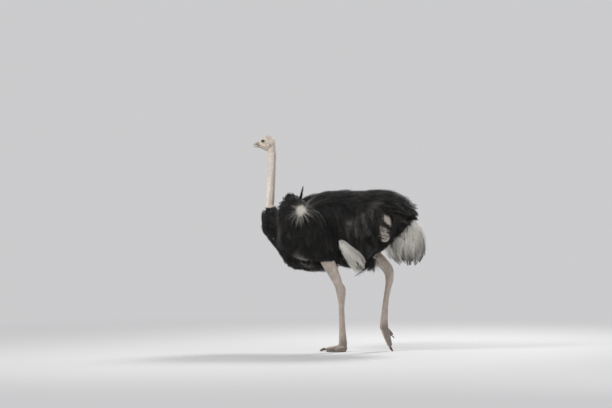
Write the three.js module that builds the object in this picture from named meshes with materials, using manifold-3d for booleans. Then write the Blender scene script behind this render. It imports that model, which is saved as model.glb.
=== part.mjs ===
// A male ostrich at life size, in mid stride, as a museum shows it.
// Millimetres, +Z up. The bird walks towards -X, so its left side is -Y.
// The last lines move it so that the origin is on the floor under its middle.
import * as THREE from "three";
import { mergeVertices } from "three/addons/utils/BufferGeometryUtils.js";
import Module from "manifold-3d";

const wasm = await Module();
wasm.setup();

// Driving dimensions.
const CLEARANCE = 0.3; // between pieces that meet
const BODY_HALF_WIDTH = 290; // out to the plumage of the flanks
const WING_OUTSIDE = 385; // from the middle plane to the outside of a folded wing
const WING_INSIDE = 40;
const FEATHER_FOLDS = 12; // folds around a hanging mass of plumes
const NECK_RADIUS = 36; // halfway up
const JAW_LEVEL = 1957; // where the neck is parted from the head
const EYE_RADIUS = 24;
const EYE_CENTRE = { x: -795, y: 30, z: 2055 };
const HOCK_LEVEL = { standing: 570, lifted: 738 }; // where the thigh piece meets the shank
const SOLE_SQUARENESS = 2.6; // a toe's section is an ellipse at 2 and squarer above it
const LEFT = -1;
const RIGHT = 1;

const finishes = {
  black_plumage: { color: 0x1b1918, roughness: 0.8 },
  white_plume: { color: 0xd8d3c8, roughness: 0.85 },
  bare_skin: { color: 0xa79a8e, roughness: 0.6 },
  neck_down: { color: 0xb9afa4, roughness: 0.75 },
  bill_horn: { color: 0x9c8b7a, roughness: 0.45 },
  claw_horn: { color: 0x4a4038, roughness: 0.4 },
  eye: { color: 0x23150d, roughness: 0.08 },
};
const materials = {};
for (const [name, look] of Object.entries(finishes)) {
  materials[name] = new THREE.MeshStandardMaterial({ metalness: 0, ...look });
}

// ---- shape tools ----

// A sphere's own grid with each vertex moved to place(t, angle). t runs from pole to pole.
function moulded(around, along, place) {
  const shape = new THREE.SphereGeometry(1, around, along);
  const { position, uv } = shape.attributes;
  for (let i = 0; i < position.count; i++) {
    const point = place(1 - uv.getY(i), 2 * Math.PI * uv.getX(i));
    position.setXYZ(i, point.x, point.y, point.z);
  }
  return shape;
}

// How full a body is at t: it rounds off over a share of its length at each end.
function fullness(t, [first, last]) {
  const near = Math.min(1, t / first);
  const far = Math.min(1, (1 - t) / last);
  return Math.sqrt(Math.max(0, 1 - (1 - near) ** 2)) * Math.sqrt(Math.max(0, 1 - (1 - far) ** 2));
}

// A point of a closed section. A power over 2 squares the section off.
function section(angle, power) {
  const bent = (v) => Math.sign(v) * Math.abs(v) ** (2 / power);
  return { across: bent(Math.cos(angle)), other: bent(Math.sin(angle)) };
}

// A tube through stations { at: [x, y, z], size: [half width, half depth] }.
function limb(stations, { around = 14, along = 20, ends = [0.08, 0.08], power = 2 } = {}) {
  const path = new THREE.CatmullRomCurve3(stations.map((s) => new THREE.Vector3(...s.at)));
  const sizes = new THREE.CatmullRomCurve3(stations.map((s) => new THREE.Vector3(...s.size, 0)));
  return moulded(around, along, (t, angle) => {
    const forward = path.getTangent(t);
    const side = new THREE.Vector3(0, 1, 0).addScaledVector(forward, -forward.y).normalize();
    const other = new THREE.Vector3().crossVectors(forward, side);
    const size = sizes.getPoint(t).multiplyScalar(fullness(t, ends));
    const { across, other: up } = section(angle, power);
    return path
      .getPoint(t)
      .addScaledVector(side, size.x * across)
      .addScaledVector(other, size.y * up);
  });
}

// A body of flat slices. Along "x" each slice is [x, low, high, left, right], an upright cut.
// Along "z" it is [z, front, rear, left, right], a level cut. Folds deepen towards the last slice.
function sliced(axis, slices, { around = 20, along = 16, ends = [0.06, 0.06], power = 2, folds = 0 }) {
  const middle = new THREE.CatmullRomCurve3(
    slices.map(([at, a0, a1, b0, b1]) => new THREE.Vector3(at, (a0 + a1) / 2, (b0 + b1) / 2)),
  );
  const half = new THREE.CatmullRomCurve3(
    slices.map(([, a0, a1, b0, b1]) => new THREE.Vector3(0, (a1 - a0) / 2, (b1 - b0) / 2)),
  );
  return moulded(around, along, (t, angle) => {
    const centre = middle.getPoint(t);
    const wave = 1 + folds * t * t * Math.cos((around / 2) * angle);
    const size = half.getPoint(t).multiplyScalar(fullness(t, ends) * wave);
    const { across, other } = section(angle, power);
    const a = centre.y + size.y * other;
    const b = centre.z + size.z * across;
    return axis === "x" ? new THREE.Vector3(centre.x, b, a) : new THREE.Vector3(a, b, centre.x);
  });
}

// Slices with a half width in place of left and right, evened out about the middle plane.
const even = (slices) => slices.map(([at, a0, a1, half]) => [at, a0, a1, -half, half]);

// Slices and stations given for the right side, turned to either side.
const slicesOn = (slices, side) =>
  slices.map(([at, a0, a1, inner, outer]) =>
    side === RIGHT ? [at, a0, a1, inner, outer] : [at, a0, a1, -outer, -inner],
  );
const stationsOn = (stations, side) =>
  stations.map(({ at: [x, y, z], size }) => ({ at: [x, side * y, z], size }));

// The solid of a shape, with every vertex moved outward by grow.
function solidOf(geometry, grow = 0) {
  const bare = geometry.clone();
  bare.deleteAttribute("normal");
  bare.deleteAttribute("uv");
  const merged = mergeVertices(bare, 1e-3);
  const points = merged.attributes.position.array;
  const make = () =>
    new wasm.Manifold(
      new wasm.Mesh({
        numProp: 3,
        vertProperties: points,
        triVerts: new Uint32Array(merged.index.array),
      }),
    );
  if (make().volume() < 0) merged.index.array.reverse();
  if (grow > 0) {
    merged.computeVertexNormals();
    const outward = merged.attributes.normal.array;
    for (let i = 0; i < points.length; i++) points[i] += grow * outward[i];
  }
  return make();
}

// The exact shape, and the slightly larger one that its neighbours are cut with.
const withCutter = (geometry) => ({ exact: solidOf(geometry), cutter: solidOf(geometry, CLEARANCE) });

const above = (solid, level) => solid.trimByPlane([0, 0, 1], level + CLEARANCE / 2);
const below = (solid, level) => solid.trimByPlane([0, 0, -1], CLEARANCE / 2 - level);
const restOnFloor = (solid) => solid.trimByPlane([0, 0, 1], 0);

const bird = new THREE.Group();
bird.name = "ostrich";

// Adds the largest body of a solid, so that no crumb of a cut is left beside it.
function add(name, solid, finish) {
  const [body] = solid.decompose().sort((a, b) => b.volume() - a.volume());
  const { numProp, numVert, vertProperties, triVerts } = body.simplify(CLEARANCE / 4).getMesh();
  const points = new Float32Array(numVert * 3);
  for (let i = 0; i < numVert; i++) {
    points.set(vertProperties.subarray(i * numProp, i * numProp + 3), i * 3);
  }
  const geometry = new THREE.BufferGeometry();
  geometry.setAttribute("position", new THREE.BufferAttribute(points, 3));
  geometry.setIndex(new THREE.BufferAttribute(triVerts, 1));
  const mesh = new THREE.Mesh(geometry.toNonIndexed(), materials[finish]);
  mesh.geometry.computeVertexNormals();
  mesh.name = name;
  bird.add(mesh);
}

// ---- trunk: the deep egg of the body, out to the tips of its black plumage ----

const TRUNK = [
  // x, low, high, half width
  [-812, 1310, 1372, 52],
  [-803, 1240, 1396, 88],
  [-785, 1180, 1404, 112],
  [-740, 1099, 1410, 150],
  [-650, 985, 1428, 196],
  [-540, 838, 1452, 232],
  [-400, 800, 1500, 262],
  [-200, 798, 1560, 284],
  [0, 822, 1568, BODY_HALF_WIDTH],
  [160, 820, 1562, BODY_HALF_WIDTH],
  [232, 826, 1568, 286],
  [290, 905, 1572, 277],
  [345, 966, 1571, 264],
  [440, 1047, 1558, 238],
  [540, 1160, 1512, 196],
  [630, 1262, 1436, 134],
  [686, 1300, 1350, 56],
];
const trunk = withCutter(
  sliced("x", even(TRUNK), {
    around: 2 * FEATHER_FOLDS,
    along: 27,
    ends: [0.02, 0.03],
    power: 2.2,
    folds: 0.035,
  }),
);
add("trunk", trunk.exact, "black_plumage");

// ---- tail: a drooping white bush ----

const TAIL = [
  // z, front, rear, half width
  [1322, 630, 684, 40],
  [1275, 560, 728, 92],
  [1205, 500, 756, 126],
  [1105, 446, 784, 150],
  [1000, 436, 780, 158],
  [930, 462, 756, 142],
  [886, 545, 690, 84],
];
const tail = withCutter(
  sliced("z", even(TAIL), { around: 2 * FEATHER_FOLDS, along: 11, ends: [0.08, 0.08], folds: 0.06 }),
);
add("tail", tail.exact.subtract(trunk.cutter), "white_plume");

// ---- neck and head: one flow of flesh, parted on a level plane under the jaw ----

const NECK = [
  { at: [-640, 0, 1250], size: [66, 70] },
  { at: [-704, 0, 1320], size: [56, 60] },
  { at: [-733, 0, 1405], size: [45, 48] },
  { at: [-728, 0, 1485], size: [39, 42] },
  { at: [-721, 0, 1570], size: [NECK_RADIUS, NECK_RADIUS + 2.5] },
  { at: [-713, 0, 1700], size: [NECK_RADIUS - 1, NECK_RADIUS + 1] },
  { at: [-709, 0, 1830], size: [NECK_RADIUS, NECK_RADIUS + 2] },
  { at: [-709, 0, 1905], size: [38, 41] },
  { at: [-714, 0, 1965], size: [41, 43] },
  { at: [-722, 0, 2010], size: [42, 42] },
];
const HEAD = [
  // x, low, high, half width
  [-677, 2012, 2050, 16],
  [-688, 1985, 2080, 32],
  [-712, 1962, 2097, 41],
  [-742, 1956, 2106, 46],
  [-772, 1963, 2104, 48],
  [-798, 1976, 2094, 45],
  [-822, 1989, 2075, 38],
  [-842, 2000, 2057, 31],
  [-858, 2006, 2046, 25],
];
const UPPER_BILL = [
  [-806, 2021, 2054, 34],
  [-830, 2018, 2051, 34],
  [-856, 2017, 2044, 31],
  [-880, 2014, 2037, 25],
  [-899, 2010, 2031, 15],
];
const LOWER_BILL = [
  [-800, 1990, 2014, 33],
  [-826, 1992, 2014, 32],
  [-850, 1995, 2011, 28],
  [-872, 1997, 2008, 21],
  [-889, 1998, 2006, 12],
];
const billOf = (slices) =>
  sliced("x", even(slices), { around: 12, along: 8, power: 2.3, ends: [0.12, 0.3] });
const eyeOn = (side) =>
  new THREE.SphereGeometry(EYE_RADIUS, 12, 8).translate(EYE_CENTRE.x, side * EYE_CENTRE.y, EYE_CENTRE.z);

const bills = { bill_upper: billOf(UPPER_BILL), bill_lower: billOf(LOWER_BILL) };
const eyes = { eye_left: withCutter(eyeOn(LEFT)), eye_right: withCutter(eyeOn(RIGHT)) };
const eyeRoom = eyes.eye_left.cutter.add(eyes.eye_right.cutter);
const flesh = solidOf(
  sliced("x", even(HEAD), { around: 16, along: 13, power: 2.1, ends: [0.1, 0.12] }),
).add(solidOf(limb(NECK, { along: 17, ends: [0.04, 0.06] })));

let skull = above(flesh, JAW_LEVEL).subtract(eyeRoom);
for (const [name, shape] of Object.entries(bills)) {
  const bill = withCutter(shape);
  skull = skull.subtract(bill.cutter);
  add(name, bill.exact.subtract(eyeRoom), "bill_horn");
}
add("head", skull, "neck_down");
add("neck", below(flesh, JAW_LEVEL).subtract(trunk.cutter), "neck_down");
for (const [name, eye] of Object.entries(eyes)) add(name, eye.exact, "eye");

// ---- wings: folded loosely and drooping, each with white quills under its rear edge ----

const WING = [
  // z, front, rear, inner, outer
  [1521, -520, -462, 150, 236],
  [1500, -550, -436, 110, 288],
  [1440, -598, -350, 60, 334],
  [1330, -642, -190, WING_INSIDE, 370],
  [1220, -655, -95, WING_INSIDE, WING_OUTSIDE],
  [1110, -642, -58, WING_INSIDE, WING_OUTSIDE],
  [1010, -590, -55, 60, 368],
  [940, -470, -75, 120, 335],
  [898, -260, -120, 180, 290],
];
// The quills hang backwards as a flattened bunch.
const QUILLS = [
  { at: [-95, 290, 1120], size: [26, 40] },
  { at: [-30, 288, 1040], size: [24, 68] },
  { at: [40, 270, 955], size: [23, 88] },
  { at: [100, 248, 885], size: [20, 88] },
  { at: [145, 232, 825], size: [14, 62] },
];
// One long feather of the left shoulder stands up clear of the coat.
const RAISED_FEATHER = [
  { at: [-440, -230, 1440], size: [3, 6] },
  { at: [-432, -235, 1500], size: [3, 12] },
  { at: [-422, -238, 1560], size: [2.5, 10] },
  { at: [-408, -240, 1614], size: [1.5, 4] },
];

// Adds a wing and returns what its neighbours are cut with.
function wing(label, side) {
  const { exact, cutter } = withCutter(
    sliced("z", slicesOn(WING, side), {
      around: 2 * FEATHER_FOLDS,
      along: 13,
      power: 2.5,
      folds: 0.03,
    }),
  );
  add(`wing_${label}`, exact.subtract(trunk.cutter), "black_plumage");
  if (side === LEFT) {
    const feather = solidOf(limb(RAISED_FEATHER, { around: 6, along: 8, ends: [0.1, 0.1] }));
    add("raised_feather", feather.subtract(trunk.cutter).subtract(cutter), "black_plumage");
  }
  return cutter;
}

// ---- legs: thigh and drumstick, shank, two toes and their claws ----

const STANDING_LEG = [
  { at: [-235, 165, 1105], size: [78, 84] },
  { at: [-222, 172, 1045], size: [88, 98] },
  { at: [-196, 169, 970], size: [86, 94] },
  { at: [-163, 158, 890], size: [72, 76] },
  { at: [-128, 142, 810], size: [56, 59] },
  { at: [-93, 121, 730], size: [47, 50] },
  { at: [-60, 100, 655], size: [40, 43] },
  { at: [-40, 81, 598], size: [41, 48] },
  { at: [-34, 66, 540], size: [36, 40] },
  { at: [-33, 51, 470], size: [28, 29] },
  { at: [-31, 34, 385], size: [25, 27] },
  { at: [-27, 18, 290], size: [26, 29] },
  { at: [-23, 3, 200], size: [29, 32] },
  { at: [-20, -8, 125], size: [34, 37] },
  { at: [-18, -16, 74], size: [38, 41] },
  { at: [-18, -18, 42], size: [36, 38] },
];
const LIFTED_LEG = [
  { at: [-40, 158, 1105], size: [78, 84] },
  { at: [10, 168, 1075], size: [88, 98] },
  { at: [95, 170, 1040], size: [92, 104] },
  { at: [185, 165, 1000], size: [86, 98] },
  { at: [270, 157, 950], size: [74, 86] },
  { at: [345, 147, 893], size: [59, 71] },
  { at: [402, 134, 832], size: [45, 55] },
  { at: [434, 124, 770], size: [41, 47] },
  { at: [440, 116, 705], size: [36, 40] },
  { at: [427, 107, 630], size: [28, 30] },
  { at: [412, 99, 550], size: [25, 27] },
  { at: [399, 90, 455], size: [26, 28] },
  { at: [391, 84, 365], size: [29, 32] },
  { at: [386, 79, 290], size: [34, 37] },
  { at: [385, 76, 236], size: [38, 41] },
  { at: [389, 76, 206], size: [33, 36] },
];
// The standing foot is set down under the middle of the body, as in a walk.
const STANDING_FOOT = {
  middle: [
    { at: [28, -15, 32], size: [27, 26] },
    { at: [-4, -15, 34], size: [38, 42] },
    { at: [-50, -15, 29], size: [38, 38] },
    { at: [-100, -16, 25], size: [38, 33] },
    { at: [-150, -17, 21], size: [36, 28] },
    { at: [-194, -18, 17], size: [27, 22] },
  ],
  outer: [
    { at: [-6, 17, 28], size: [22, 30] },
    { at: [-38, 40, 24], size: [25, 30] },
    { at: [-74, 57, 19], size: [23, 25] },
    { at: [-108, 68, 14], size: [17, 18] },
  ],
  middle_claw: [
    { at: [-178, -18, 28], size: [13, 14] },
    { at: [-206, -19, 24], size: [12, 13] },
    { at: [-228, -19, 16], size: [9, 11] },
    { at: [-243, -19, 5], size: [6, 6] },
  ],
  outer_claw: [
    { at: [-104, 66, 18], size: [6, 7] },
    { at: [-118, 70, 14], size: [5, 6] },
    { at: [-129, 73, 7], size: [3, 3] },
  ],
};
// The lifted foot hangs, with the tip of its middle claw just on the floor.
const LIFTED_FOOT = {
  middle: [
    { at: [378, 78, 252], size: [26, 26] },
    { at: [393, 78, 216], size: [35, 38] },
    { at: [409, 78, 164], size: [34, 35] },
    { at: [424, 78, 116], size: [32, 30] },
    { at: [440, 78, 70], size: [28, 25] },
    { at: [455, 78, 36], size: [19, 17] },
  ],
  outer: [
    { at: [396, 108, 226], size: [20, 26] },
    { at: [424, 124, 196], size: [22, 26] },
    { at: [452, 134, 168], size: [19, 21] },
    { at: [472, 140, 144], size: [13, 14] },
  ],
  middle_claw: [
    { at: [441, 78, 52], size: [12, 13] },
    { at: [453, 78, 27], size: [11, 12] },
    { at: [466, 78, 8], size: [9, 9] },
    { at: [476, 78, -3], size: [6, 6] },
  ],
  outer_claw: [
    { at: [467, 139, 149], size: [6, 6] },
    { at: [479, 142, 136], size: [5, 5] },
    { at: [488, 144, 122], size: [3, 3] },
  ],
};

// Toes and claws, each with a small flat where it meets the floor.
function footPieces(foot, side) {
  const pieces = {};
  for (const [name, stations] of Object.entries(foot)) {
    const isClaw = name.endsWith("claw");
    const shape = limb(stationsOn(stations, side), {
      around: isClaw ? 8 : 12,
      along: isClaw ? 6 : 9,
      ends: isClaw ? [0.2, 0.1] : [0.16, 0.16],
      power: isClaw ? 2 : SOLE_SQUARENESS,
    });
    const { exact, cutter } = withCutter(shape);
    pieces[name] = { exact: restOnFloor(exact), cutter };
  }
  return pieces;
}

function legAndWing(label, side, stations, foot, hockLevel) {
  const wingCutter = wing(label, side);
  const leg = withCutter(limb(stationsOn(stations, side), { along: 30, ends: [0.05, 0.03] }));
  const { middle, outer, middle_claw: middleClaw, outer_claw: outerClaw } = footPieces(foot, side);
  const shown = restOnFloor(leg.exact)
    .subtract(trunk.cutter)
    .subtract(wingCutter)
    .subtract(tail.cutter)
    .subtract(middle.cutter);
  add(`thigh_${label}`, above(shown, hockLevel), "bare_skin");
  add(`shank_${label}`, below(shown, hockLevel), "bare_skin");
  add(`toe_middle_${label}`, middle.exact.subtract(middleClaw.cutter), "bare_skin");
  add(
    `toe_outer_${label}`,
    outer.exact.subtract(middle.cutter).subtract(outerClaw.cutter).subtract(leg.cutter),
    "bare_skin",
  );
  add(`claw_middle_${label}`, middleClaw.exact, "claw_horn");
  add(`claw_outer_${label}`, outerClaw.exact, "claw_horn");

  const quills = solidOf(limb(stationsOn(QUILLS, side), { around: 12, along: 9, ends: [0.2, 0.2] }));
  add(
    `quills_${label}`,
    quills.subtract(trunk.cutter).subtract(wingCutter).subtract(leg.cutter),
    "white_plume",
  );
}
legAndWing("left", LEFT, STANDING_LEG, STANDING_FOOT, HOCK_LEVEL.standing);
legAndWing("right", RIGHT, LIFTED_LEG, LIFTED_FOOT, HOCK_LEVEL.lifted);

// The origin goes to the floor under the middle of the whole bird.
const bounds = new THREE.Box3().setFromObject(bird);
const centre = bounds.getCenter(new THREE.Vector3());
bird.position.set(-centre.x, -centre.y, -bounds.min.z);

export default bird;
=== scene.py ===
import math

import bmesh
import bpy
import numpy as np
from mathutils import Matrix, Vector
from mathutils.bvhtree import BVHTree


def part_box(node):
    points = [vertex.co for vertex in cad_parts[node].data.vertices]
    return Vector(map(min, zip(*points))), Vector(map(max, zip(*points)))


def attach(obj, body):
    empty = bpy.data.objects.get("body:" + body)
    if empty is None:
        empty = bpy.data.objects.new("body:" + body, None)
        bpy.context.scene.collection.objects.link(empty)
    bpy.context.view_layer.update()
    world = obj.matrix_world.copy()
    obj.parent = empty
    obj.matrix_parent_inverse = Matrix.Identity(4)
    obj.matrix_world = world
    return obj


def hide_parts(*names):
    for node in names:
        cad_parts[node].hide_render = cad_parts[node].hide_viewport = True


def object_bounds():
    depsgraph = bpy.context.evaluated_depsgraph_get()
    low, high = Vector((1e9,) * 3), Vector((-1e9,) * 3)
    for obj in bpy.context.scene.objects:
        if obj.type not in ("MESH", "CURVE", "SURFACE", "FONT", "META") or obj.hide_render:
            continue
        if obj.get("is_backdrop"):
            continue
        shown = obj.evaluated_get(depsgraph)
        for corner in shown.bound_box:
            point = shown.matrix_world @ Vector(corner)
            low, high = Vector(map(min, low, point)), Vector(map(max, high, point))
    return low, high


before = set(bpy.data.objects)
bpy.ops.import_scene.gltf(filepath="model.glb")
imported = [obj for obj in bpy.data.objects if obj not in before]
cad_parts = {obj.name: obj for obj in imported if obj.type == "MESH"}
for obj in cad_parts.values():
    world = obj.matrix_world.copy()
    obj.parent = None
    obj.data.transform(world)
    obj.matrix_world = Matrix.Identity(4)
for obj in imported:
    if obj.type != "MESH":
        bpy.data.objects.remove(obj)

cad_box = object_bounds()

# ---------------------------------------------------------------- camera, floor and light
# The bird is seen square from its left side, from thirty metres away and a little above its back.
LONG_LENS_DISTANCE = 30.0
FIELD_WIDTH = 5.967  # metres across the camera's view at the bird
AIM = Vector((-0.322, 0.0, 1.443))
ABOVE_AIM = 0.52
FLOOR_HALF = 60.0
FLOOR_FADE = (2.0, 6.5)  # where the floor turns into the backdrop, in metres from the bird
FLOOR_GREY = (0.52, 0.515, 0.51, 1.0)
BACKDROP = (0.60, 0.60, 0.61, 1.0)
SKY_BLUE = (0.93, 0.95, 1.0, 1.0)
SKY_STRENGTH = 0.46

camera_data = bpy.data.cameras.new("camera")
camera_data.sensor_width = 36.0
camera_data.lens = camera_data.sensor_width * LONG_LENS_DISTANCE / FIELD_WIDTH
camera_data.clip_end = 200.0
camera = bpy.data.objects.new("camera", camera_data)
camera.location = AIM + Vector((0.0, -LONG_LENS_DISTANCE, ABOVE_AIM))
camera.rotation_euler = (AIM - camera.location).to_track_quat("-Z", "Y").to_euler()
bpy.context.collection.objects.link(camera)
bpy.context.scene.camera = camera

bpy.context.scene.view_settings.view_transform = "Standard"

floor_bm = bmesh.new()
bmesh.ops.create_grid(floor_bm, x_segments=1, y_segments=1, size=FLOOR_HALF)
floor_mesh = bpy.data.meshes.new("floor")
floor_bm.to_mesh(floor_mesh)
floor_bm.free()
floor = bpy.data.objects.new("floor", floor_mesh)
bpy.context.collection.objects.link(floor)
floor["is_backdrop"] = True


def node(tree, kind, inputs, **settings):
    """One node; each input is a plain value or another node's output."""
    made = tree.nodes.new("ShaderNode" + kind)
    for key, value in settings.items():
        setattr(made, key, value)
    for key, value in inputs.items():
        if isinstance(value, bpy.types.NodeSocket):
            tree.links.new(value, made.inputs[key])
        else:
            made.inputs[key].default_value = value
    return made


def maths(tree, operation, first, second=0.0):
    """The output of one sum on two numbers."""
    return node(tree, "Math", {0: first, 1: second}, operation=operation).outputs[0]


def rescale(tree, value, low, high, new_low, new_high):
    """A number carried from one span of values to another."""
    inputs = {0: value, 1: low, 2: high, 3: new_low, 4: new_high}
    return node(tree, "MapRange", inputs).outputs[0]


floor_paint = bpy.data.materials.new("floor_paint")
floor_paint.use_nodes = True
tree = floor_paint.node_tree
floor_shader = tree.nodes["Principled BSDF"]
floor_shader.inputs["Base Color"].default_value = FLOOR_GREY
floor_shader.inputs["Roughness"].default_value = 0.9
place = node(tree, "TexCoord", {}).outputs["Object"]
far = node(tree, "VectorMath", {0: place}, operation="LENGTH").outputs["Value"]
seen = node(tree, "LightPath", {}).outputs["Is Camera Ray"]
fade = maths(tree, "MULTIPLY", rescale(tree, far, *FLOOR_FADE, 0.0, 1.0), seen)
glow = node(tree, "Emission", {"Color": BACKDROP, "Strength": 1.0})
blend = node(tree, "MixShader", {0: fade, 1: floor_shader.outputs[0], 2: glow.outputs[0]})
tree.links.new(blend.outputs[0], tree.nodes["Material Output"].inputs["Surface"])
floor_mesh.materials.append(floor_paint)

world = bpy.data.worlds.new("studio")
world.use_nodes = True
tree = world.node_tree
sky = tree.nodes["Background"]
sky.inputs["Color"].default_value = SKY_BLUE
sky.inputs["Strength"].default_value = SKY_STRENGTH
seen_sky = node(tree, "Background", {"Color": BACKDROP, "Strength": 1.0})
path = node(tree, "LightPath", {})
seen = maths(tree, "MAXIMUM", path.outputs["Is Camera Ray"], path.outputs["Is Glossy Ray"])
seen = maths(tree, "MAXIMUM", seen, path.outputs["Is Transmission Ray"])
blend = node(tree, "MixShader", {0: seen, 1: sky.outputs[0], 2: seen_sky.outputs[0]})
tree.links.new(blend.outputs[0], tree.nodes["World Output"].inputs["Surface"])
bpy.context.scene.world = world


def soft_lamp(name, place, aim, size, power):
    """A round lamp that the camera doesn't see."""
    data = bpy.data.lights.new(name, "AREA")
    data.shape = "DISK"
    data.size = size
    data.energy = power
    lamp = bpy.data.objects.new(name, data)
    lamp.location = place
    lamp.rotation_euler = (Vector(aim) - Vector(place)).to_track_quat("-Z", "Y").to_euler()
    bpy.context.collection.objects.link(lamp)
    lamp.visible_camera = False


soft_lamp("key", (-4.8, -3.6, 5.6), (0, 0, 1.3), 2.0, 400)
soft_lamp("rim", (3.0, 3.6, 5.5), (0, 0, 1.4), 2.0, 450)
soft_lamp("fill", (3.5, -5.0, 2.0), (0, 0, 1.1), 3.5, 75)

# ---------------------------------------------------------------- skin
# One hide covers the whole bird: scaly legs, downy neck and head, and the dark body under the
# plumage. It is cast from copies of the flesh pieces and from the muscles that the coat hides,
# and its lids, folds and scutes are then pressed into it.
SIDES = {"left": -1.0, "right": 1.0}
LEG_PARTS = ("thigh", "shank", "toe_middle", "toe_outer")
CLOSE_GAPS = 0.0006
# the hide's size under the coat, as shares of the feathered solids' sizes along x, y and z
UNDER_PLUMAGE = {"trunk": (0.93, 0.77, 0.84), "wing": (0.80, 0.62, 0.80)}
COLLAR_LEVEL = 1.405
STAR = (-0.372, 1.388)  # x and z of the pale star on each wing
EAR = (-0.672, 2.016)
FACE_EDGE = (-0.775, 0.0, 2.030)  # where the skin of the face ends on the bill
FACE_EDGE_LEAN = (0.97, 0.0, 0.243)
# flesh that the coat hides, as rounded lengths: each end's place and radius
NECK_ROOT = ((-0.674, 0.0, 1.43), 0.043, (-0.575, 0.0, 1.22), 0.075)
NAPE = ((-0.656, 0.0, 2.046), 0.035, (-0.656, 0.0, 1.950), 0.0405)
CROP = ((-0.668, 0.0, 1.330), 0.062, (-0.645, 0.0, 1.225), 0.098)
TAIL_STUMP = ((0.540, 0.0, 1.270), 0.095, (0.690, 0.0, 1.100), 0.050)
HAMS = {
    "left": ((-0.162, -0.170, 1.045), 0.086, (-0.070, -0.142, 0.810), 0.052),
    "right": ((0.068, 0.168, 1.075), 0.092, (0.375, 0.152, 0.915), 0.066),
}
EYE_RADIUS = 0.024
GAZE_AHEAD, GAZE_UP = -0.24, 0.03
BARE_FLANK = {"x": 0.440, "z": 1.212, "size": (0.080, 0.055, 0.148), "depth": 0.014}


def copy_of(*names, growth=CLOSE_GAPS):
    """One bmesh of welded copies of CAD pieces, grown a little so that they run together."""
    flesh = bmesh.new()
    for name in names:
        flesh.from_mesh(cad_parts[name].data)
    bmesh.ops.remove_doubles(flesh, verts=flesh.verts, dist=1e-5)
    bmesh.ops.recalc_face_normals(flesh, faces=flesh.faces)
    flesh.normal_update()
    for vert in flesh.verts:
        vert.co += vert.normal * growth
    return flesh


def centre_of(name):
    """The middle of a CAD piece's box."""
    low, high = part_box(name)
    return (Vector(low) + Vector(high)) / 2


def shrunk(name, kind):
    """A copy of a feathered piece, drawn in by the depth of its coat."""
    flesh = copy_of(name)
    centre = centre_of(name)
    bmesh.ops.translate(flesh, verts=flesh.verts, vec=-centre)
    bmesh.ops.scale(flesh, verts=flesh.verts, vec=UNDER_PLUMAGE[kind])
    bmesh.ops.translate(flesh, verts=flesh.verts, vec=centre)
    return flesh


def joined(*parts):
    """Several bmeshes as one."""
    whole = parts[0]
    for part in parts[1:]:
        mesh = bpy.data.meshes.new("part")
        part.to_mesh(mesh)
        part.free()
        whole.from_mesh(mesh)
        bpy.data.meshes.remove(mesh)
    return whole


def muscle(start, start_radius, end, end_radius):
    """A tapered, round-ended length of flesh."""
    flesh = bmesh.new()
    run = Vector(end) - Vector(start)
    turn = run.to_track_quat("Z", "Y").to_matrix().to_4x4()
    bmesh.ops.create_cone(
        flesh,
        cap_ends=True,
        segments=32,
        radius1=start_radius,
        radius2=end_radius,
        depth=run.length,
        matrix=Matrix.Translation((Vector(start) + Vector(end)) / 2) @ turn,
    )
    for place, radius in ((start, start_radius), (end, end_radius)):
        bmesh.ops.create_icosphere(
            flesh, subdivisions=4, radius=radius, matrix=Matrix.Translation(place)
        )
    return flesh


def cast(flesh, voxel, smooth_steps):
    """The outside of everything in a bmesh as one even mesh."""
    mesh = bpy.data.meshes.new("clay")
    flesh.to_mesh(mesh)
    flesh.free()
    clay = bpy.data.objects.new("clay", mesh)
    bpy.context.collection.objects.link(clay)
    remesh = clay.modifiers.new("remesh", "REMESH")
    remesh.mode = "VOXEL"
    remesh.voxel_size = voxel
    result = bmesh.new()
    result.from_object(clay, bpy.context.evaluated_depsgraph_get())
    bpy.data.objects.remove(clay)
    bpy.data.meshes.remove(mesh)
    for _ in range(smooth_steps):
        bmesh.ops.smooth_vert(
            result, verts=result.verts, factor=0.5, use_axis_x=True, use_axis_y=True, use_axis_z=True
        )
    return result


def sliced(flesh, place, way, **side):
    """Cuts a bmesh at a plane; side says whether its inner or outer part is cleared."""
    everything = flesh.verts[:] + flesh.edges[:] + flesh.faces[:]
    bmesh.ops.bisect_plane(flesh, geom=everything, plane_co=place, plane_no=way, **side)
    return flesh


def keep(flesh, level, above):
    """Cuts a bmesh at a level plane and keeps one side."""
    return sliced(flesh, (0, 0, level), (0, 0, 1), clear_inner=above, clear_outer=not above)


def graded(upper, lower):
    """Joins two castings of unlike fineness, each already cut at the same level."""
    both = joined(upper, lower)
    rims = [edge for edge in both.edges if edge.is_boundary]
    bmesh.ops.bridge_loops(both, edges=rims)
    return both


def as_object(flesh, name):
    """A bmesh as a smoothly shaded object, its faces turned outwards."""
    bmesh.ops.recalc_face_normals(flesh, faces=flesh.faces)
    for face in flesh.faces:
        face.smooth = True
    mesh = bpy.data.meshes.new(name)
    flesh.to_mesh(mesh)
    flesh.free()
    made = bpy.data.objects.new(name, mesh)
    bpy.context.collection.objects.link(made)
    return made


def refine(flesh, centre, reach):
    """Splits the edges near a point, for finer folds there."""
    near = [e for e in flesh.edges if ((e.verts[0].co + e.verts[1].co) / 2 - centre).length < reach]
    bmesh.ops.subdivide_edges(flesh, edges=near, cuts=1, use_grid_fill=True)


def bill_root(name):
    """The back of a bill's solid, where the skin of the face grows over the horn."""
    root = sliced(copy_of(name, growth=0.0014), FACE_EDGE, FACE_EDGE_LEAN, clear_inner=True)
    bmesh.ops.holes_fill(root, edges=root.edges)
    return root


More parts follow.
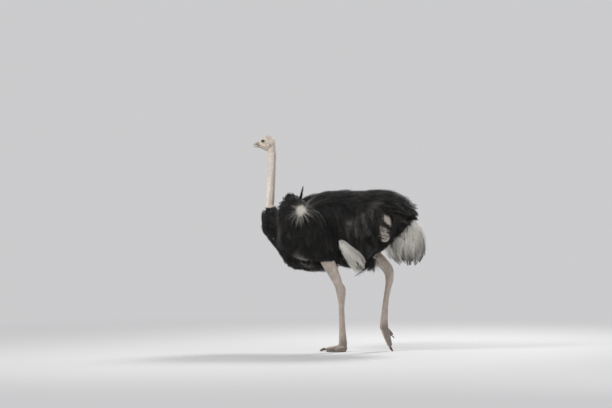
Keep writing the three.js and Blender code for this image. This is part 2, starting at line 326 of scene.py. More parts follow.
def face_rim(flesh):
    """Ends the skin of the face in a clean step on the horn."""
    edge, lean = Vector(FACE_EDGE), Vector(FACE_EDGE_LEAN)
    step_length, step_depth, mouth_level = 0.0008, 0.74, 2.016
    for shift in (0.0, -step_length):
        faces = [face for face in flesh.faces if face.calc_center_median().x < -0.750]
        edges = list({side for face in faces for side in face.edges})
        verts = list({vert for face in faces for vert in face.verts})
        bmesh.ops.bisect_plane(flesh, geom=verts + edges + faces, plane_co=edge + lean * shift, plane_no=lean)
    for vert in flesh.verts:
        if (vert.co - edge).dot(lean) < -0.0006:
            core = Vector((vert.co.x, 0.0, mouth_level))
            vert.co = core + (vert.co - core) * step_depth
    return flesh


def leg_flesh(side):
    """One leg's solids and the ham that the coat hides."""
    return joined(copy_of(*[f"{part}_{side}" for part in LEG_PARTS]), muscle(*HAMS[side]))


HEAD_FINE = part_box("head")[0][2] - 0.02  # above this level the skin is cast finer
head_flesh = joined(
    copy_of("head", "neck", "eye_left", "eye_right"),
    muscle(*NAPE),
    bill_root("bill_upper"),
    bill_root("bill_lower"),
)
head_flesh = face_rim(keep(cast(head_flesh, voxel=0.0023, smooth_steps=5), HEAD_FINE, True))
for side in SIDES:
    refine(head_flesh, centre_of("eye_" + side), 0.031)
neck_flesh = joined(copy_of("neck"), muscle(*NECK_ROOT))
neck_flesh = keep(cast(neck_flesh, voxel=0.0044, smooth_steps=4), HEAD_FINE - 0.001, False)

trunk_outline = cast(copy_of("trunk"), voxel=0.012, smooth_steps=4)
trunk_tree = BVHTree.FromBMesh(trunk_outline)
body_flesh = shrunk("trunk", "trunk")
for side, outward in SIDES.items():
    body_flesh = joined(body_flesh, shrunk("wing_" + side, "wing"))
    start = Vector((BARE_FLANK["x"], outward, BARE_FLANK["z"]))
    outer = trunk_tree.ray_cast(start, Vector((0.0, -outward, 0.0)))[0]
    reach = BARE_FLANK["size"][1] + BARE_FLANK["depth"]
    bulge = Matrix.Translation(outer - Vector((0.0, outward * reach, 0.0)))
    bmesh.ops.create_icosphere(
        body_flesh,
        subdivisions=4,
        radius=1.0,
        matrix=bulge @ Matrix.Diagonal((*BARE_FLANK["size"], 1.0)),
    )
body_flesh = joined(body_flesh, muscle(*TAIL_STUMP), muscle(*CROP))
skin = as_object(cast(body_flesh, voxel=0.018, smooth_steps=5), "skin")

limbs = [as_object(graded(head_flesh, neck_flesh), "front")]
for side in SIDES:
    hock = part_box("shank_" + side)[1][2] + 0.02
    fine = keep(cast(leg_flesh(side), voxel=0.0037, smooth_steps=3), hock, False)
    coarse = keep(cast(leg_flesh(side), voxel=0.0070, smooth_steps=3), hock + 0.001, True)
    limbs.append(as_object(graded(coarse, fine), "leg"))
for limb in limbs:
    union = skin.modifiers.new("union", "BOOLEAN")
    union.operation = "UNION"
    union.object = limb
    union.solver = "MANIFOLD"
hide = bmesh.new()
hide.from_object(skin, bpy.context.evaluated_depsgraph_get())
for limb in limbs:
    bpy.data.objects.remove(limb)
skin.modifiers.clear()
bmesh.ops.recalc_face_normals(hide, faces=hide.faces)
hide.normal_update()
hide.to_mesh(skin.data)
hide.free()


def values_of(mesh, attribute):
    """The points or normals of a mesh as rows of three numbers."""
    flat = np.empty(len(mesh.vertices) * 3)
    mesh.vertices.foreach_get(attribute, flat)
    return flat.reshape(-1, 3)


def unit(vectors):
    """The same ways, one long."""
    return vectors / np.maximum(np.linalg.norm(vectors, axis=-1, keepdims=True), 1e-9)


def ramp(low, high, value):
    """0 below low, 1 above high, and smooth between them."""
    t = np.clip((value - low) / (high - low), 0.0, 1.0)
    return t * t * (3.0 - 2.0 * t)


def swell(distance, width):
    """1 at no distance, and falling softly to 0 past the width."""
    return np.exp(-((distance / width) ** 2))


def from_path(points, path):
    """How far points lie from a bent line in the bird's side view."""
    flat = points[:, [0, 2]]
    nearest = np.full(len(points), 9.0)
    for start, end in zip(path[:-1], path[1:]):
        start, run = np.array(start), np.array(end) - np.array(start)
        along = np.clip((flat - start) @ run / (run @ run), 0.0, 1.0)
        gap = np.linalg.norm(flat - start - along[:, None] * run, axis=1)
        nearest = np.minimum(nearest, gap)
    return nearest


def drift(points, wave_length, seed):
    """Soft random values between about -1 and 1, changing over a wave length."""
    dice = np.random.default_rng(seed)
    total = np.zeros(len(points))
    for _ in range(7):
        way = unit(dice.normal(size=3)) * 2 * math.pi / (wave_length * dice.uniform(0.6, 1.5))
        total += np.sin(points @ way + dice.uniform(0, 6.28))
    return total / 3.0


# Lids: inside the almond of the opening the hide sinks behind the eyeball, and round it a thick
# rim hugs the ball, with two folds beyond the rim.
LID_HALF_LENGTH = 0.0172
LID_HALF_HEIGHT = 0.0108
LID_THICKNESS = 0.0015
points = values_of(skin.data, "co")
opening = np.full(len(points), 1.0)  # metres beyond the rim of the nearest eye's opening
lid_frames = {}
for side, outward in SIDES.items():
    centre = np.array(centre_of("eye_" + side))
    gaze = unit(np.array((GAZE_AHEAD, outward, GAZE_UP)))
    behind = unit(np.cross(gaze, (0.0, 0.0, 1.0)) * outward)
    behind = unit(behind + np.array((0.0, 0.0, 0.12)))
    above = unit(np.cross(behind, gaze) * outward)
    lid_frames[side] = (centre, gaze, behind, above)
    away = points - centre
    radius = np.linalg.norm(away, axis=1)
    near = np.where((radius < 0.045) & (points[:, 1] * outward > 0))[0]
    spoke = away[near] / radius[near, None]
    along = EYE_RADIUS * np.arctan2(spoke @ behind, spoke @ gaze)
    across = EYE_RADIUS * np.arctan2(spoke @ above, spoke @ gaze)
    reach = np.clip(1.0 - (along / LID_HALF_LENGTH) ** 2, 0.0, 1.0)
    tall = np.where(across > 0, LID_HALF_HEIGHT, 0.85 * LID_HALF_HEIGHT) * reach**0.72
    past_corner = np.maximum(np.abs(along) - LID_HALF_LENGTH, 0.0)
    past_rim = np.abs(across) - tall
    rim = np.where(past_corner > 0, np.hypot(past_corner, across), past_rim)
    opening[near] = np.minimum(opening[near], rim)
    upper = ramp(-0.002, 0.004, across)
    lid = EYE_RADIUS + LID_THICKNESS * (1.0 + 0.45 * swell(rim - 0.0016, 0.0016))
    lid = lid - 0.0009 * upper * (swell(rim - 0.0052, 0.0010) + 0.8 * swell(rim - 0.0085, 0.0011))
    hugged = radius[near] + (lid - radius[near]) * (1.0 - ramp(0.0045, 0.0150, rim))
    sunk = lid + (EYE_RADIUS - 0.0045 - lid) * ramp(0.0, 0.0024, -rim)
    clear = EYE_RADIUS + 0.0009
    over_ball = 0.5 * (hugged + clear + np.hypot(hugged - clear, 0.0016))
    new_radius = np.where(rim > 0, over_ball, sunk)
    points[near] = centre + spoke * new_radius[:, None]

skin.data.vertices.foreach_set("co", points.ravel())
skin.data.update()
facing = values_of(skin.data, "normal")
on_head = ramp(1.93, 1.96, points[:, 2])
flank = ramp(0.25, 0.7, np.abs(facing[:, 1]))
press = np.zeros(len(points))

# Head: brow, lore, cheek, gape, jaw line and the ear's hollow.
GAPE = ((-0.800, 2.0155), (-0.775, 2.0150), (-0.750, 2.0105))
JAW_LINE = ((-0.806, 1.9975), (-0.762, 1.9925), (-0.722, 1.9930), (-0.690, 1.9985))
BROW = ((-0.772, 2.0690), (-0.752, 2.0800), (-0.728, 2.0830), (-0.708, 2.0750))
CHEEK_LINE = ((-0.748, 2.028), (-0.722, 2.022), (-0.704, 2.032))
press += 0.0024 * swell(from_path(points, BROW), 0.0065)
press -= 0.0022 * swell(from_path(points, ((-0.786, 2.046), (-0.772, 2.036))), 0.0090) * flank
press += 0.0030 * swell(from_path(points, ((-0.715, 2.008), (-0.700, 2.004))), 0.0170) * flank
press -= 0.0013 * swell(from_path(points, CHEEK_LINE), 0.0032) * flank
gape = swell(from_path(points, GAPE), 0.0022)
press -= 0.0026 * gape * flank
press += 0.0011 * swell(from_path(points, GAPE) - 0.0052, 0.0026) * flank
press -= 0.0017 * swell(from_path(points, JAW_LINE), 0.0036) * flank
ear_gap = np.hypot(points[:, 0] - EAR[0], points[:, 2] - EAR[1])
ear = swell(ear_gap, 0.0058) * on_head * flank
press -= 0.0075 * ear
press += 0.0014 * swell(ear_gap - 0.0100, 0.0034) * flank
press += 0.0005 * drift(points, 0.011, 4)
press *= on_head * ramp(0.0, 0.006, opening)

# Neck: long soft folds, crossed by faint rings, and the windpipe down the front.
on_neck = ramp(COLLAR_LEVEL - 0.02, COLLAR_LEVEL + 0.06, points[:, 2]) * (points[:, 0] < -0.55)
on_neck = on_neck * (1.0 - ramp(1.925, 1.965, points[:, 2]))
round_neck = np.arctan2(facing[:, 1], -facing[:, 0])
height = points[:, 2]
long_folds = np.sin(5 * round_neck + 9 * height + drift(points, 0.22, 5))
rings = np.sin(2 * math.pi * height / 0.017 + 1.3 * drift(points, 0.06, 6))
press += on_neck * (0.0010 * long_folds + 0.0003 * rings)
press += on_neck * 0.0016 * swell(np.abs(round_neck) - 0.45, 0.30)

# Legs: each shank's centre line is found from the CAD piece, and the scutes run down its front.
SCUTE_PITCH = 0.0115
on_leg = np.zeros(len(points))
scute_run = np.zeros(len(points))
scutes = np.zeros(len(points))
scaly = np.zeros(len(points))
for side, outward in SIDES.items():
    low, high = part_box("shank_" + side)
    flesh = copy_of(*[f"{part}_{side}" for part in LEG_PARTS])
    leg_tree = BVHTree.FromBMesh(flesh)
    flesh.free()
    close = np.where((height < 1.0) & (np.abs(points[:, 0] - low[0]) < 0.45))[0]
    gaps = np.array([leg_tree.find_nearest(place, 0.05)[3] or 0.05 for place in points[close]])
    mine = close[gaps < 0.012]
    on_leg[mine] = 1.0
    shank = values_of(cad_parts["shank_" + side].data, "co")
    levels = np.linspace(low[2] + 0.01, high[2] - 0.005, 14)
    axis = []
    for level in levels:
        ring = shank[np.abs(shank[:, 2] - level) < 0.035]
        axis.append((ring.min(axis=0) + ring.max(axis=0)) / 2)
    axis = np.array(axis)
    at = height[mine]
    ahead = np.interp(at, levels, axis[:, 0]) - points[mine, 0]
    aside = points[mine, 1] - np.interp(at, levels, axis[:, 1])
    round_leg = np.arctan2(aside, ahead)
    on_shank = (1.0 - ramp(high[2] - 0.045, high[2] - 0.010, at)) * ramp(low[2], low[2] + 0.03, at)
    front = (1.0 - ramp(0.75, 1.05, np.abs(round_leg))) * on_shank
    slant = 0.006 * np.abs(round_leg)
    scute_run[mine] = (at + slant) / SCUTE_PITCH
    scutes[mine] = front
    press[mine] += 0.0010 * front * np.cos(2 * math.pi * (at + slant) / SCUTE_PITCH)
    press[mine] += 0.0016 * on_shank * swell(np.abs(round_leg) - 2.75, 0.35)
    press[mine] -= 0.0014 * on_shank * swell(np.abs(round_leg) - 2.15, 0.22)
    scaly[mine] = 1.0 - ramp(high[2] + 0.02, high[2] + 0.14, at)
    hock = high[2] - 0.005
    knob = swell(at - hock + 0.010, 0.030) * swell(np.abs(np.abs(round_leg) - 1.57), 0.55)
    press[mine] += 0.0055 * knob
    creases = np.cos(2 * math.pi * at / 0.0135 + 0.6 * drift(points[mine], 0.05, 8))
    press[mine] += 0.0012 * creases * swell(at - hock, 0.032) * swell(round_leg, 0.9)
    above_hock = ramp(high[2] + 0.005, high[2] + 0.07, at)
    press[mine] += 0.0016 * above_hock * np.sin(4 * round_leg + 10 * at)
    press[mine] += 0.0040 * above_hock * swell(np.abs(round_leg) - 3.0, 0.40)
    press[mine] -= 0.0026 * above_hock * swell(np.abs(round_leg) - 2.30, 0.28)
    for toe in ("toe_middle", "toe_outer"):
        solid = values_of(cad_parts[f"{toe}_{side}"].data, "co")
        middle = solid.mean(axis=0)
        run = np.linalg.svd(solid - middle, full_matrices=False)[2][0]
        run = run * np.sign(-run[2] if side == "right" else -run[0])
        top = unit(np.array((0.0, 0.0, 1.0)) if side == "left" else np.array((-0.94, 0.0, -0.34)))
        box_low, box_high = solid.min(axis=0) - 0.004, solid.max(axis=0) + 0.004
        inside = np.all((points[mine] > box_low) & (points[mine] < box_high), axis=1)
        toe_points = mine[inside & (on_shank < 0.3)]
        down_toe = (points[toe_points] - middle) @ run
        upper = ramp(0.35, 0.75, facing[toe_points] @ top)
        pitch = SCUTE_PITCH * 0.8
        scute_run[toe_points] = down_toe / pitch
        scutes[toe_points] = upper
        press[toe_points] += 0.0008 * upper * np.cos(2 * math.pi * down_toe / pitch)
        end = ((solid - middle) @ run).max()
        press[toe_points] -= 0.0050 * ramp(end - 0.016, end, down_toe)
press *= np.where(on_leg > 0, ramp(0.0, 0.004, height), 1.0)
points += facing * press[:, None]
points[:, 2] = np.maximum(points[:, 2], 0.0)
skin.data.vertices.foreach_set("co", points.ravel())
skin.data.update()


def srgb(red, green, blue):
    """A colour as seen on a screen, 0 to 255, as the light that the shader wants."""
    seen = np.array((red, green, blue)) / 255.0
    return np.where(seen <= 0.04045, seen / 12.92, ((seen + 0.055) / 1.055) ** 2.4)


def mixed(first, second, share):
    """Colours part of the way from the first to the second."""
    return first + (second - first) * np.asarray(share)[..., None]


def label(mesh, name, numbers, domain="POINT"):
    """Stores a number or a colour at each point, for the material to read."""
    colours = numbers.ndim == 2
    made = mesh.attributes.new(name, "FLOAT_COLOR" if colours else "FLOAT", domain)
    if colours:
        numbers = np.concatenate((numbers, np.ones((len(numbers), 1))), axis=1)
    made.data.foreach_set("color" if colours else "value", numbers.astype(np.float32).ravel())


def new_paint(name, roughness, **finish):
    """A material, its node tree and its shader, with the plain numbers set on the shader."""
    paint = bpy.data.materials.new(name)
    paint.use_nodes = True
    shader = paint.node_tree.nodes["Principled BSDF"]
    shader.inputs["Roughness"].default_value = roughness
    for socket, value in finish.items():
        shader.inputs[socket.replace("_", " ")].default_value = value
    return paint, paint.node_tree, shader


def stored(tree, name, output="Fac"):
    """What label stored at each point."""
    return node(tree, "Attribute", {}, attribute_name=name).outputs[output]


def tinted(tree, colour, amount):
    """A colour made lighter or darker by a number."""
    grey = node(tree, "CombineColor", {0: amount, 1: amount, 2: amount}).outputs[0]
    inputs = {0: 1.0, 6: colour, 7: grey}
    return node(tree, "Mix", inputs, data_type="RGBA", blend_type="MULTIPLY").outputs[2]


NECK_GREY = srgb(200, 189, 177)
NAPE_GREY = srgb(176, 166, 155)
FACE_GREY = srgb(188, 175, 162)
LID_BROWN = srgb(104, 90, 80)
# painted shade for the ear's hollow, the eye's opening and the line of the mouth
HOLLOW_SHADE = srgb(58, 48, 42)
HAM_GREY = srgb(186, 173, 162)
SHANK_GREY = srgb(172, 158, 147)
SCUTE_TAN = srgb(182, 163, 148)
FOOT_GREY = srgb(124, 112, 104)
FLANK_GREY = srgb(205, 192, 181)
UNDER_BLACK = srgb(14, 13, 12)
# painted shade for the gaps in the white tail, laid on the hide under it
TAIL_GAP_SHADE = srgb(88, 83, 78)
UNDER_STAR = srgb(168, 162, 153)

facing = values_of(skin.data, "normal")
blotch = drift(points, 0.05, 11)
hide_colour = np.tile(UNDER_BLACK, (len(points), 1))
bare_gap = np.hypot(
    (points[:, 0] - BARE_FLANK["x"]) / BARE_FLANK["size"][0],
    (points[:, 2] - BARE_FLANK["z"]) / BARE_FLANK["size"][2],
)
bare = (1.0 - ramp(0.85, 1.05, bare_gap)) * ramp(0.10, 0.14, np.abs(points[:, 1]))
hide_colour = mixed(hide_colour, FLANK_GREY * (1 + 0.10 * blotch[:, None]), bare)
star_gap = np.hypot(points[:, 0] - STAR[0], points[:, 2] - STAR[1])
under_star = (1.0 - ramp(0.020, 0.048, star_gap)) * ramp(0.12, 0.16, np.abs(points[:, 1]))
hide_colour = mixed(hide_colour, UNDER_STAR, under_star)
# Under the white tail the hide is painted mid grey, as painted shade showing through the gaps between the
# tail's locks.
tail_part = ramp(0.60, 0.66, points[:, 0]) * (1.0 - ramp(1.20, 1.26, height))
hide_colour = mixed(hide_colour, TAIL_GAP_SHADE, tail_part)
ham_to_foot = mixed(HAM_GREY, SHANK_GREY, 1.0 - ramp(0.36, 0.68, height))
ham_to_foot = mixed(ham_to_foot, FOOT_GREY, 1.0 - ramp(0.04, 0.20, height))
right_foot = (points[:, 0] > 0.30) * (1.0 - ramp(0.22, 0.34, height))
ham_to_foot = mixed(ham_to_foot, FOOT_GREY, right_foot)
ham_to_foot = mixed(ham_to_foot, SCUTE_TAN, 0.6 * scutes)
hide_colour = mixed(hide_colour, ham_to_foot * (1 + 0.07 * blotch[:, None]), on_leg)
neck_gap = np.hypot(points[:, 0] - NECK_ROOT[0][0], points[:, 1])
above_collar = height - 0.6 * np.maximum(neck_gap - 0.047, 0.0)
neck_top = ramp(COLLAR_LEVEL - 0.004, COLLAR_LEVEL + 0.008, above_collar)
neck_top = neck_top * (points[:, 0] < -0.60) * (1.0 - ramp(0.050, 0.055, neck_gap) * (height < 1.60))
back_of_neck = ramp(0.2, 0.9, facing[:, 0])
neck_colour = mixed(NECK_GREY, NAPE_GREY, 0.8 * back_of_neck)
neck_colour = mixed(neck_colour, FACE_GREY, on_head * (1.0 - back_of_neck))
neck_colour = mixed(neck_colour, NAPE_GREY, ramp(2.07, 2.10, height) * on_head)
hide_colour = mixed(hide_colour, neck_colour * (1 + 0.05 * blotch[:, None]), neck_top)
# The ear's hollow is painted dark, as painted shade in the hole.
hide_colour = mixed(hide_colour, HOLLOW_SHADE, np.clip(1.5 * ear, 0, 1))
hide_colour = mixed(hide_colour, LID_BROWN, 0.85 * (1.0 - ramp(0.0015, 0.0060, opening)))
# The hide inside the eye's opening is painted dark, as painted shade in the seam round the eyeball.
hide_colour = mixed(hide_colour, HOLLOW_SHADE, 0.7 * (1.0 - ramp(-0.0010, 0.0008, opening)))
hide_colour = mixed(hide_colour, LID_BROWN, 0.75 * gape * on_head)
# The line of the mouth is painted dark, as painted shade in the gape.
mouth = swell(height - 2.0155, 0.0045) * ramp(0.778, 0.786, -points[:, 0])
hide_colour = mixed(hide_colour, HOLLOW_SHADE, np.clip(1.4 * mouth, 0, 1))
label(skin.data, "hide_colour", np.clip(hide_colour, 0, 1))
label(skin.data, "scute_run", scute_run)
label(skin.data, "scutes", scutes)
label(skin.data, "scaly", scaly * on_leg)
label(skin.data, "downy", neck_top)

skin_paint, tree, shader = new_paint("hide", 0.58, Sheen_Weight=0.22, Sheen_Roughness=0.35)
place = node(tree, "TexCoord", {}).outputs["Object"]
mottle = node(tree, "TexNoise", {"Vector": place, "Scale": 70.0, "Detail": 6.0}).outputs[0]
grain = node(tree, "TexNoise", {"Vector": place, "Scale": 900.0, "Detail": 3.0}).outputs[0]
pores = node(tree, "TexVoronoi", {"Vector": place, "Scale": 300.0}).outputs["Distance"]
scale_edge = node(
    tree, "TexVoronoi", {"Vector": place, "Scale": 210.0}, feature="DISTANCE_TO_EDGE"
).outputs["Distance"]
scale_gap = rescale(tree, scale_edge, 0.0, 0.16, 1.0, 0.0)
along_scute = maths(tree, "FRACT", stored(tree, "scute_run"))
step = maths(tree, "ABSOLUTE", maths(tree, "SUBTRACT", along_scute, 0.5))
scute_gap = maths(tree, "MULTIPLY", rescale(tree, step, 0.0, 0.13, 1.0, 0.0), stored(tree, "scutes"))
off_scutes = maths(tree, "SUBTRACT", stored(tree, "scaly"), stored(tree, "scutes"))
small_scales = maths(tree, "MULTIPLY", scale_gap, maths(tree, "MAXIMUM", off_scutes, 0.0))
gaps = maths(tree, "MAXIMUM", scute_gap, maths(tree, "MULTIPLY", small_scales, 0.75))
relief = maths(tree, "MULTIPLY", gaps, -1.0)
soft = maths(tree, "MULTIPLY", pores, maths(tree, "SUBTRACT", 1.0, stored(tree, "scaly")))
relief = maths(tree, "ADD", relief, maths(tree, "MULTIPLY", soft, 0.35))
relief = maths(tree, "ADD", relief, maths(tree, "MULTIPLY", grain, 0.35))
bump = node(tree, "Bump", {"Strength": 0.9, "Distance": 0.0007, "Height": relief})
tree.links.new(bump.outputs[0], shader.inputs["Normal"])
mottling = rescale(tree, mottle, 0.3, 0.7, 0.84, 1.14)
shade = maths(tree, "MULTIPLY", mottling, rescale(tree, gaps, 0.0, 1.0, 1.03, 0.66))
tree.links.new(tinted(tree, stored(tree, "hide_colour", "Color"), shade), shader.inputs["Base Color"])
tree.links.new(rescale(tree, mottle, 0.3, 0.7, 0.50, 0.68), shader.inputs["Roughness"])
skin.data.materials.clear()
skin.data.materials.append(skin_paint)
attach(skin, "root")
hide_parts(*[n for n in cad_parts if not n.startswith(("bill", "claw", "eye"))])

# ---------------------------------------------------------------- eyes
# Each eye is a wet ball with a clear bulge over a dark brown iris and a round black pupil. It
# sits in the socket behind the lids and looks sideways and a little ahead.
PUPIL_ANGLE = 0.36
IRIS_ANGLE = 0.66
CORNEA_RISE = 0.0011
BEHIND_LIDS = 0.0003

iris_paint, tree, shader = new_paint(
    "eye_gloss", 0.12, Coat_Weight=0.7, Coat_Roughness=0.03, Coat_IOR=1.38, Specular_IOR_Level=0.15
)
off_axis = stored(tree, "off_axis")
streaks = node(tree, "TexNoise", {"Vector": stored(tree, "iris_way", "Vector"), "Scale": 9.0, "Detail": 4.0})
frayed = rescale(tree, streaks.outputs[0], 0.3, 0.7, -0.03, 0.03)
brown = node(tree, "ValToRGB", {"Fac": maths(tree, "ADD", off_axis, frayed)})
rings = (
    (0.0, (0.002, 0.002, 0.002)),
    (PUPIL_ANGLE, (0.002, 0.002, 0.002)),
    (PUPIL_ANGLE + 0.03, (0.038, 0.016, 0.008)),
    (IRIS_ANGLE - 0.14, (0.062, 0.028, 0.013)),
    (IRIS_ANGLE, (0.012, 0.006, 0.004)),
    (1.0, (0.020, 0.012, 0.009)),
)
while len(brown.color_ramp.elements) < len(rings):
    brown.color_ramp.elements.new(0.5)
for stop, (where, colour) in zip(brown.color_ramp.elements, rings):
    stop.position = where
    stop.color = (*colour, 1.0)
tree.links.new(brown.outputs[0], shader.inputs["Base Color"])

for side, outward in SIDES.items():
    ball = bmesh.new()
    bmesh.ops.create_uvsphere(ball, u_segments=56, v_segments=40, radius=EYE_RADIUS - BEHIND_LIDS)
    gaze = Vector((GAZE_AHEAD, outward, GAZE_UP)).normalized()
    turn = gaze.to_track_quat("Z", "Y").to_matrix().to_4x4()
    bmesh.ops.transform(ball, verts=ball.verts, matrix=turn)
    for vert in ball.verts:
        angle = vert.co.angle(gaze)
        bulge = max(0.0, 1.0 - (angle / IRIS_ANGLE) ** 2)
        vert.co += vert.co.normalized() * CORNEA_RISE * bulge
    bmesh.ops.translate(ball, verts=ball.verts, vec=centre_of("eye_" + side))
    eye = as_object(ball, "eyeball_" + side)
    spokes = values_of(eye.data, "co") - np.array(centre_of("eye_" + side))
    cosines = np.clip(unit(spokes) @ np.array(gaze), -1, 1)
    flat = unit(spokes - (spokes @ np.array(gaze))[:, None] * np.array(gaze))
    label(eye.data, "off_axis", np.arccos(cosines))
    label(eye.data, "iris_way", 0.5 + 0.5 * flat)
    eye.data.materials.append(iris_paint)
    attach(eye, "root")
    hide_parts("eye_" + side)

# ---------------------------------------------------------------- bill and claws
# Horn sheaths: a flat bill in two halves with a nail at its tip and slit nostrils, and a blunt
# claw on each toe. They grow from the hide, and each is a smooth casting of its solid.
NOSTRIL = ((-0.8060, 2.0330), (-0.7930, 2.0385))
BILL_GROOVE = ((-0.7900, 2.0400), (-0.8070, 2.0320), (-0.8260, 2.0250))
LOWER_GROOVE = ((-0.7700, 1.9985), (-0.8000, 2.0000), (-0.8220, 2.0040))


def jaw_core(level, above):
    """The flesh of the face a little inside the hide, for a bill's thin rear edge to close on."""
    core = keep(copy_of("head", growth=-0.0022), level, above)
    core = sliced(core, (-0.735, 0, 0), (1, 0, 0), clear_outer=True)
    bmesh.ops.holes_fill(core, edges=core.edges)
    return core


def horn_piece(name, horn, dent):
    """A fine casting of a horn solid; dent gives how deep each point is pressed in."""
    made = as_object(horn, name + "_sheath")
    at = values_of(made.data, "co")
    at -= values_of(made.data, "normal") * dent(at, values_of(made.data, "normal"))[:, None]
    at[:, 2] = np.maximum(at[:, 2], 0.0)
    made.data.vertices.foreach_set("co", at.ravel())
    made.data.update()
    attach(made, "root")
    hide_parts(name)
    return made


def under_face(at):
    """The horn sinks under the skin behind the face's edge."""
    behind = (at - np.array(FACE_EDGE)) @ np.array(FACE_EDGE_LEAN)
    return 0.0018 * ramp(0.0006, 0.0050, behind) * (1.0 - ramp(-0.757, -0.750, at[:, 0]))


def upper_dent(at, normals):
    """The nostrils' slits, the groove before them and the edge of the nail."""
    outside = ramp(0.2, 0.6, np.abs(normals[:, 1]))
    slit = 0.0026 * swell(from_path(at, NOSTRIL), 0.0019) * outside
    groove = 0.0008 * swell(from_path(at, BILL_GROOVE), 0.0020) * outside
    nail = 0.0007 * swell(at[:, 0] + 0.8235 - 2.0 * at[:, 1] ** 2 / 0.034, 0.0014)
    return slit + groove + nail * ramp(0.0, 0.4, normals[:, 2]) + under_face(at)


def lower_dent(at, normals):
    """The groove along each side of the lower bill."""
    outside = ramp(0.2, 0.6, np.abs(normals[:, 1]))
    return 0.0009 * swell(from_path(at, LOWER_GROOVE), 0.0018) * outside + under_face(at)


def claw_dent(at, normals):
    """Fine growth ridges."""
    return 0.00012 * (1.0 + drift(at * np.array((3.0, 40.0, 12.0)), 0.05, 21))


horn_paint, tree, shader = new_paint("bill_horn", 0.36, Specular_IOR_Level=0.5)
place = node(tree, "TexCoord", {}).outputs["Object"]
stretched = node(tree, "Mapping", {"Vector": place, "Scale": (40.0, 260.0, 420.0)}).outputs[0]
growth = node(tree, "TexNoise", {"Vector": stretched, "Scale": 1.0, "Detail": 5.0}).outputs[0]
blotches = node(tree, "TexNoise", {"Vector": place, "Scale": 85.0, "Detail": 4.0}).outputs[0]
bands = rescale(tree, growth, 0.3, 0.7, 0.86, 1.12)
tint = maths(tree, "MULTIPLY", bands, rescale(tree, blotches, 0.3, 0.7, 0.90, 1.08))
tree.links.new(tinted(tree, stored(tree, "horn_colour", "Color"), tint), shader.inputs["Base Color"])
tree.links.new(rescale(tree, blotches, 0.3, 0.7, 0.30, 0.46), shader.inputs["Roughness"])
bump = node(tree, "Bump", {"Strength": 0.5, "Distance": 0.0003, "Height": growth})
tree.links.new(bump.outputs[0], shader.inputs["Normal"])

BILL_BROWN = srgb(150, 136, 118)
BILL_EDGE = srgb(196, 184, 164)
# painted shade inside the nostrils' slits
NOSTRIL_SHADE = srgb(48, 40, 35)
CLAW_BROWN = srgb(82, 72, 63)
CLAW_TIP = srgb(120, 108, 94)
for name, dent, level, rim in (
    ("bill_upper", upper_dent, 2.0165, 2.0170),
    ("bill_lower", lower_dent, 2.0115, 2.0110),
):
    core = jaw_core(level, name == "bill_upper")
    piece = horn_piece(name, cast(joined(copy_of(name), core), voxel=0.0011, smooth_steps=5), dent)
    at = values_of(piece.data, "co")
    edge = swell(at[:, 2] - rim, 0.0040) * ramp(0.770, 0.800, -at[:, 0])
    tip = ramp(0.815, 0.840, -at[:, 0])
    colour = mixed(np.tile(BILL_BROWN, (len(at), 1)), BILL_EDGE, np.clip(0.7 * edge + 0.5 * tip, 0, 1))
    if name == "bill_upper":
        # The nostrils' slits are painted dark, as painted shade inside them.
        colour = mixed(colour, NOSTRIL_SHADE, 0.9 * swell(from_path(at, NOSTRIL), 0.0022))
    label(piece.data, "horn_colour", colour)
    piece.data.materials.append(horn_paint)
for name in [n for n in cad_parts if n.startswith("claw")]:
    piece = horn_piece(name, cast(copy_of(name), voxel=0.0010, smooth_steps=4), claw_dent)
    at = values_of(piece.data, "co")
    lowest = at[:, 2].min()
    tip = 1.0 - ramp(lowest, lowest + 0.018, at[:, 2])
    label(piece.data, "horn_colour", mixed(np.tile(CLAW_BROWN, (len(at), 1)), CLAW_TIP, 0.7 * tip))
    piece.data.materials.append(horn_paint)

# ---------------------------------------------------------------- black coat of the trunk
# Short dense feathers on the breast and collar, long limp ones down the flanks, and stiff pointed
# tufts over the rump. Each plume is a keeled shaft with a row of loose, limp barbs on each side:
# its root lies in the coat's depth, near the hide, and it runs out along the lie of the coat.
TUFT_PATCH = 0.003  # how wide a plume's patch is on the bake map


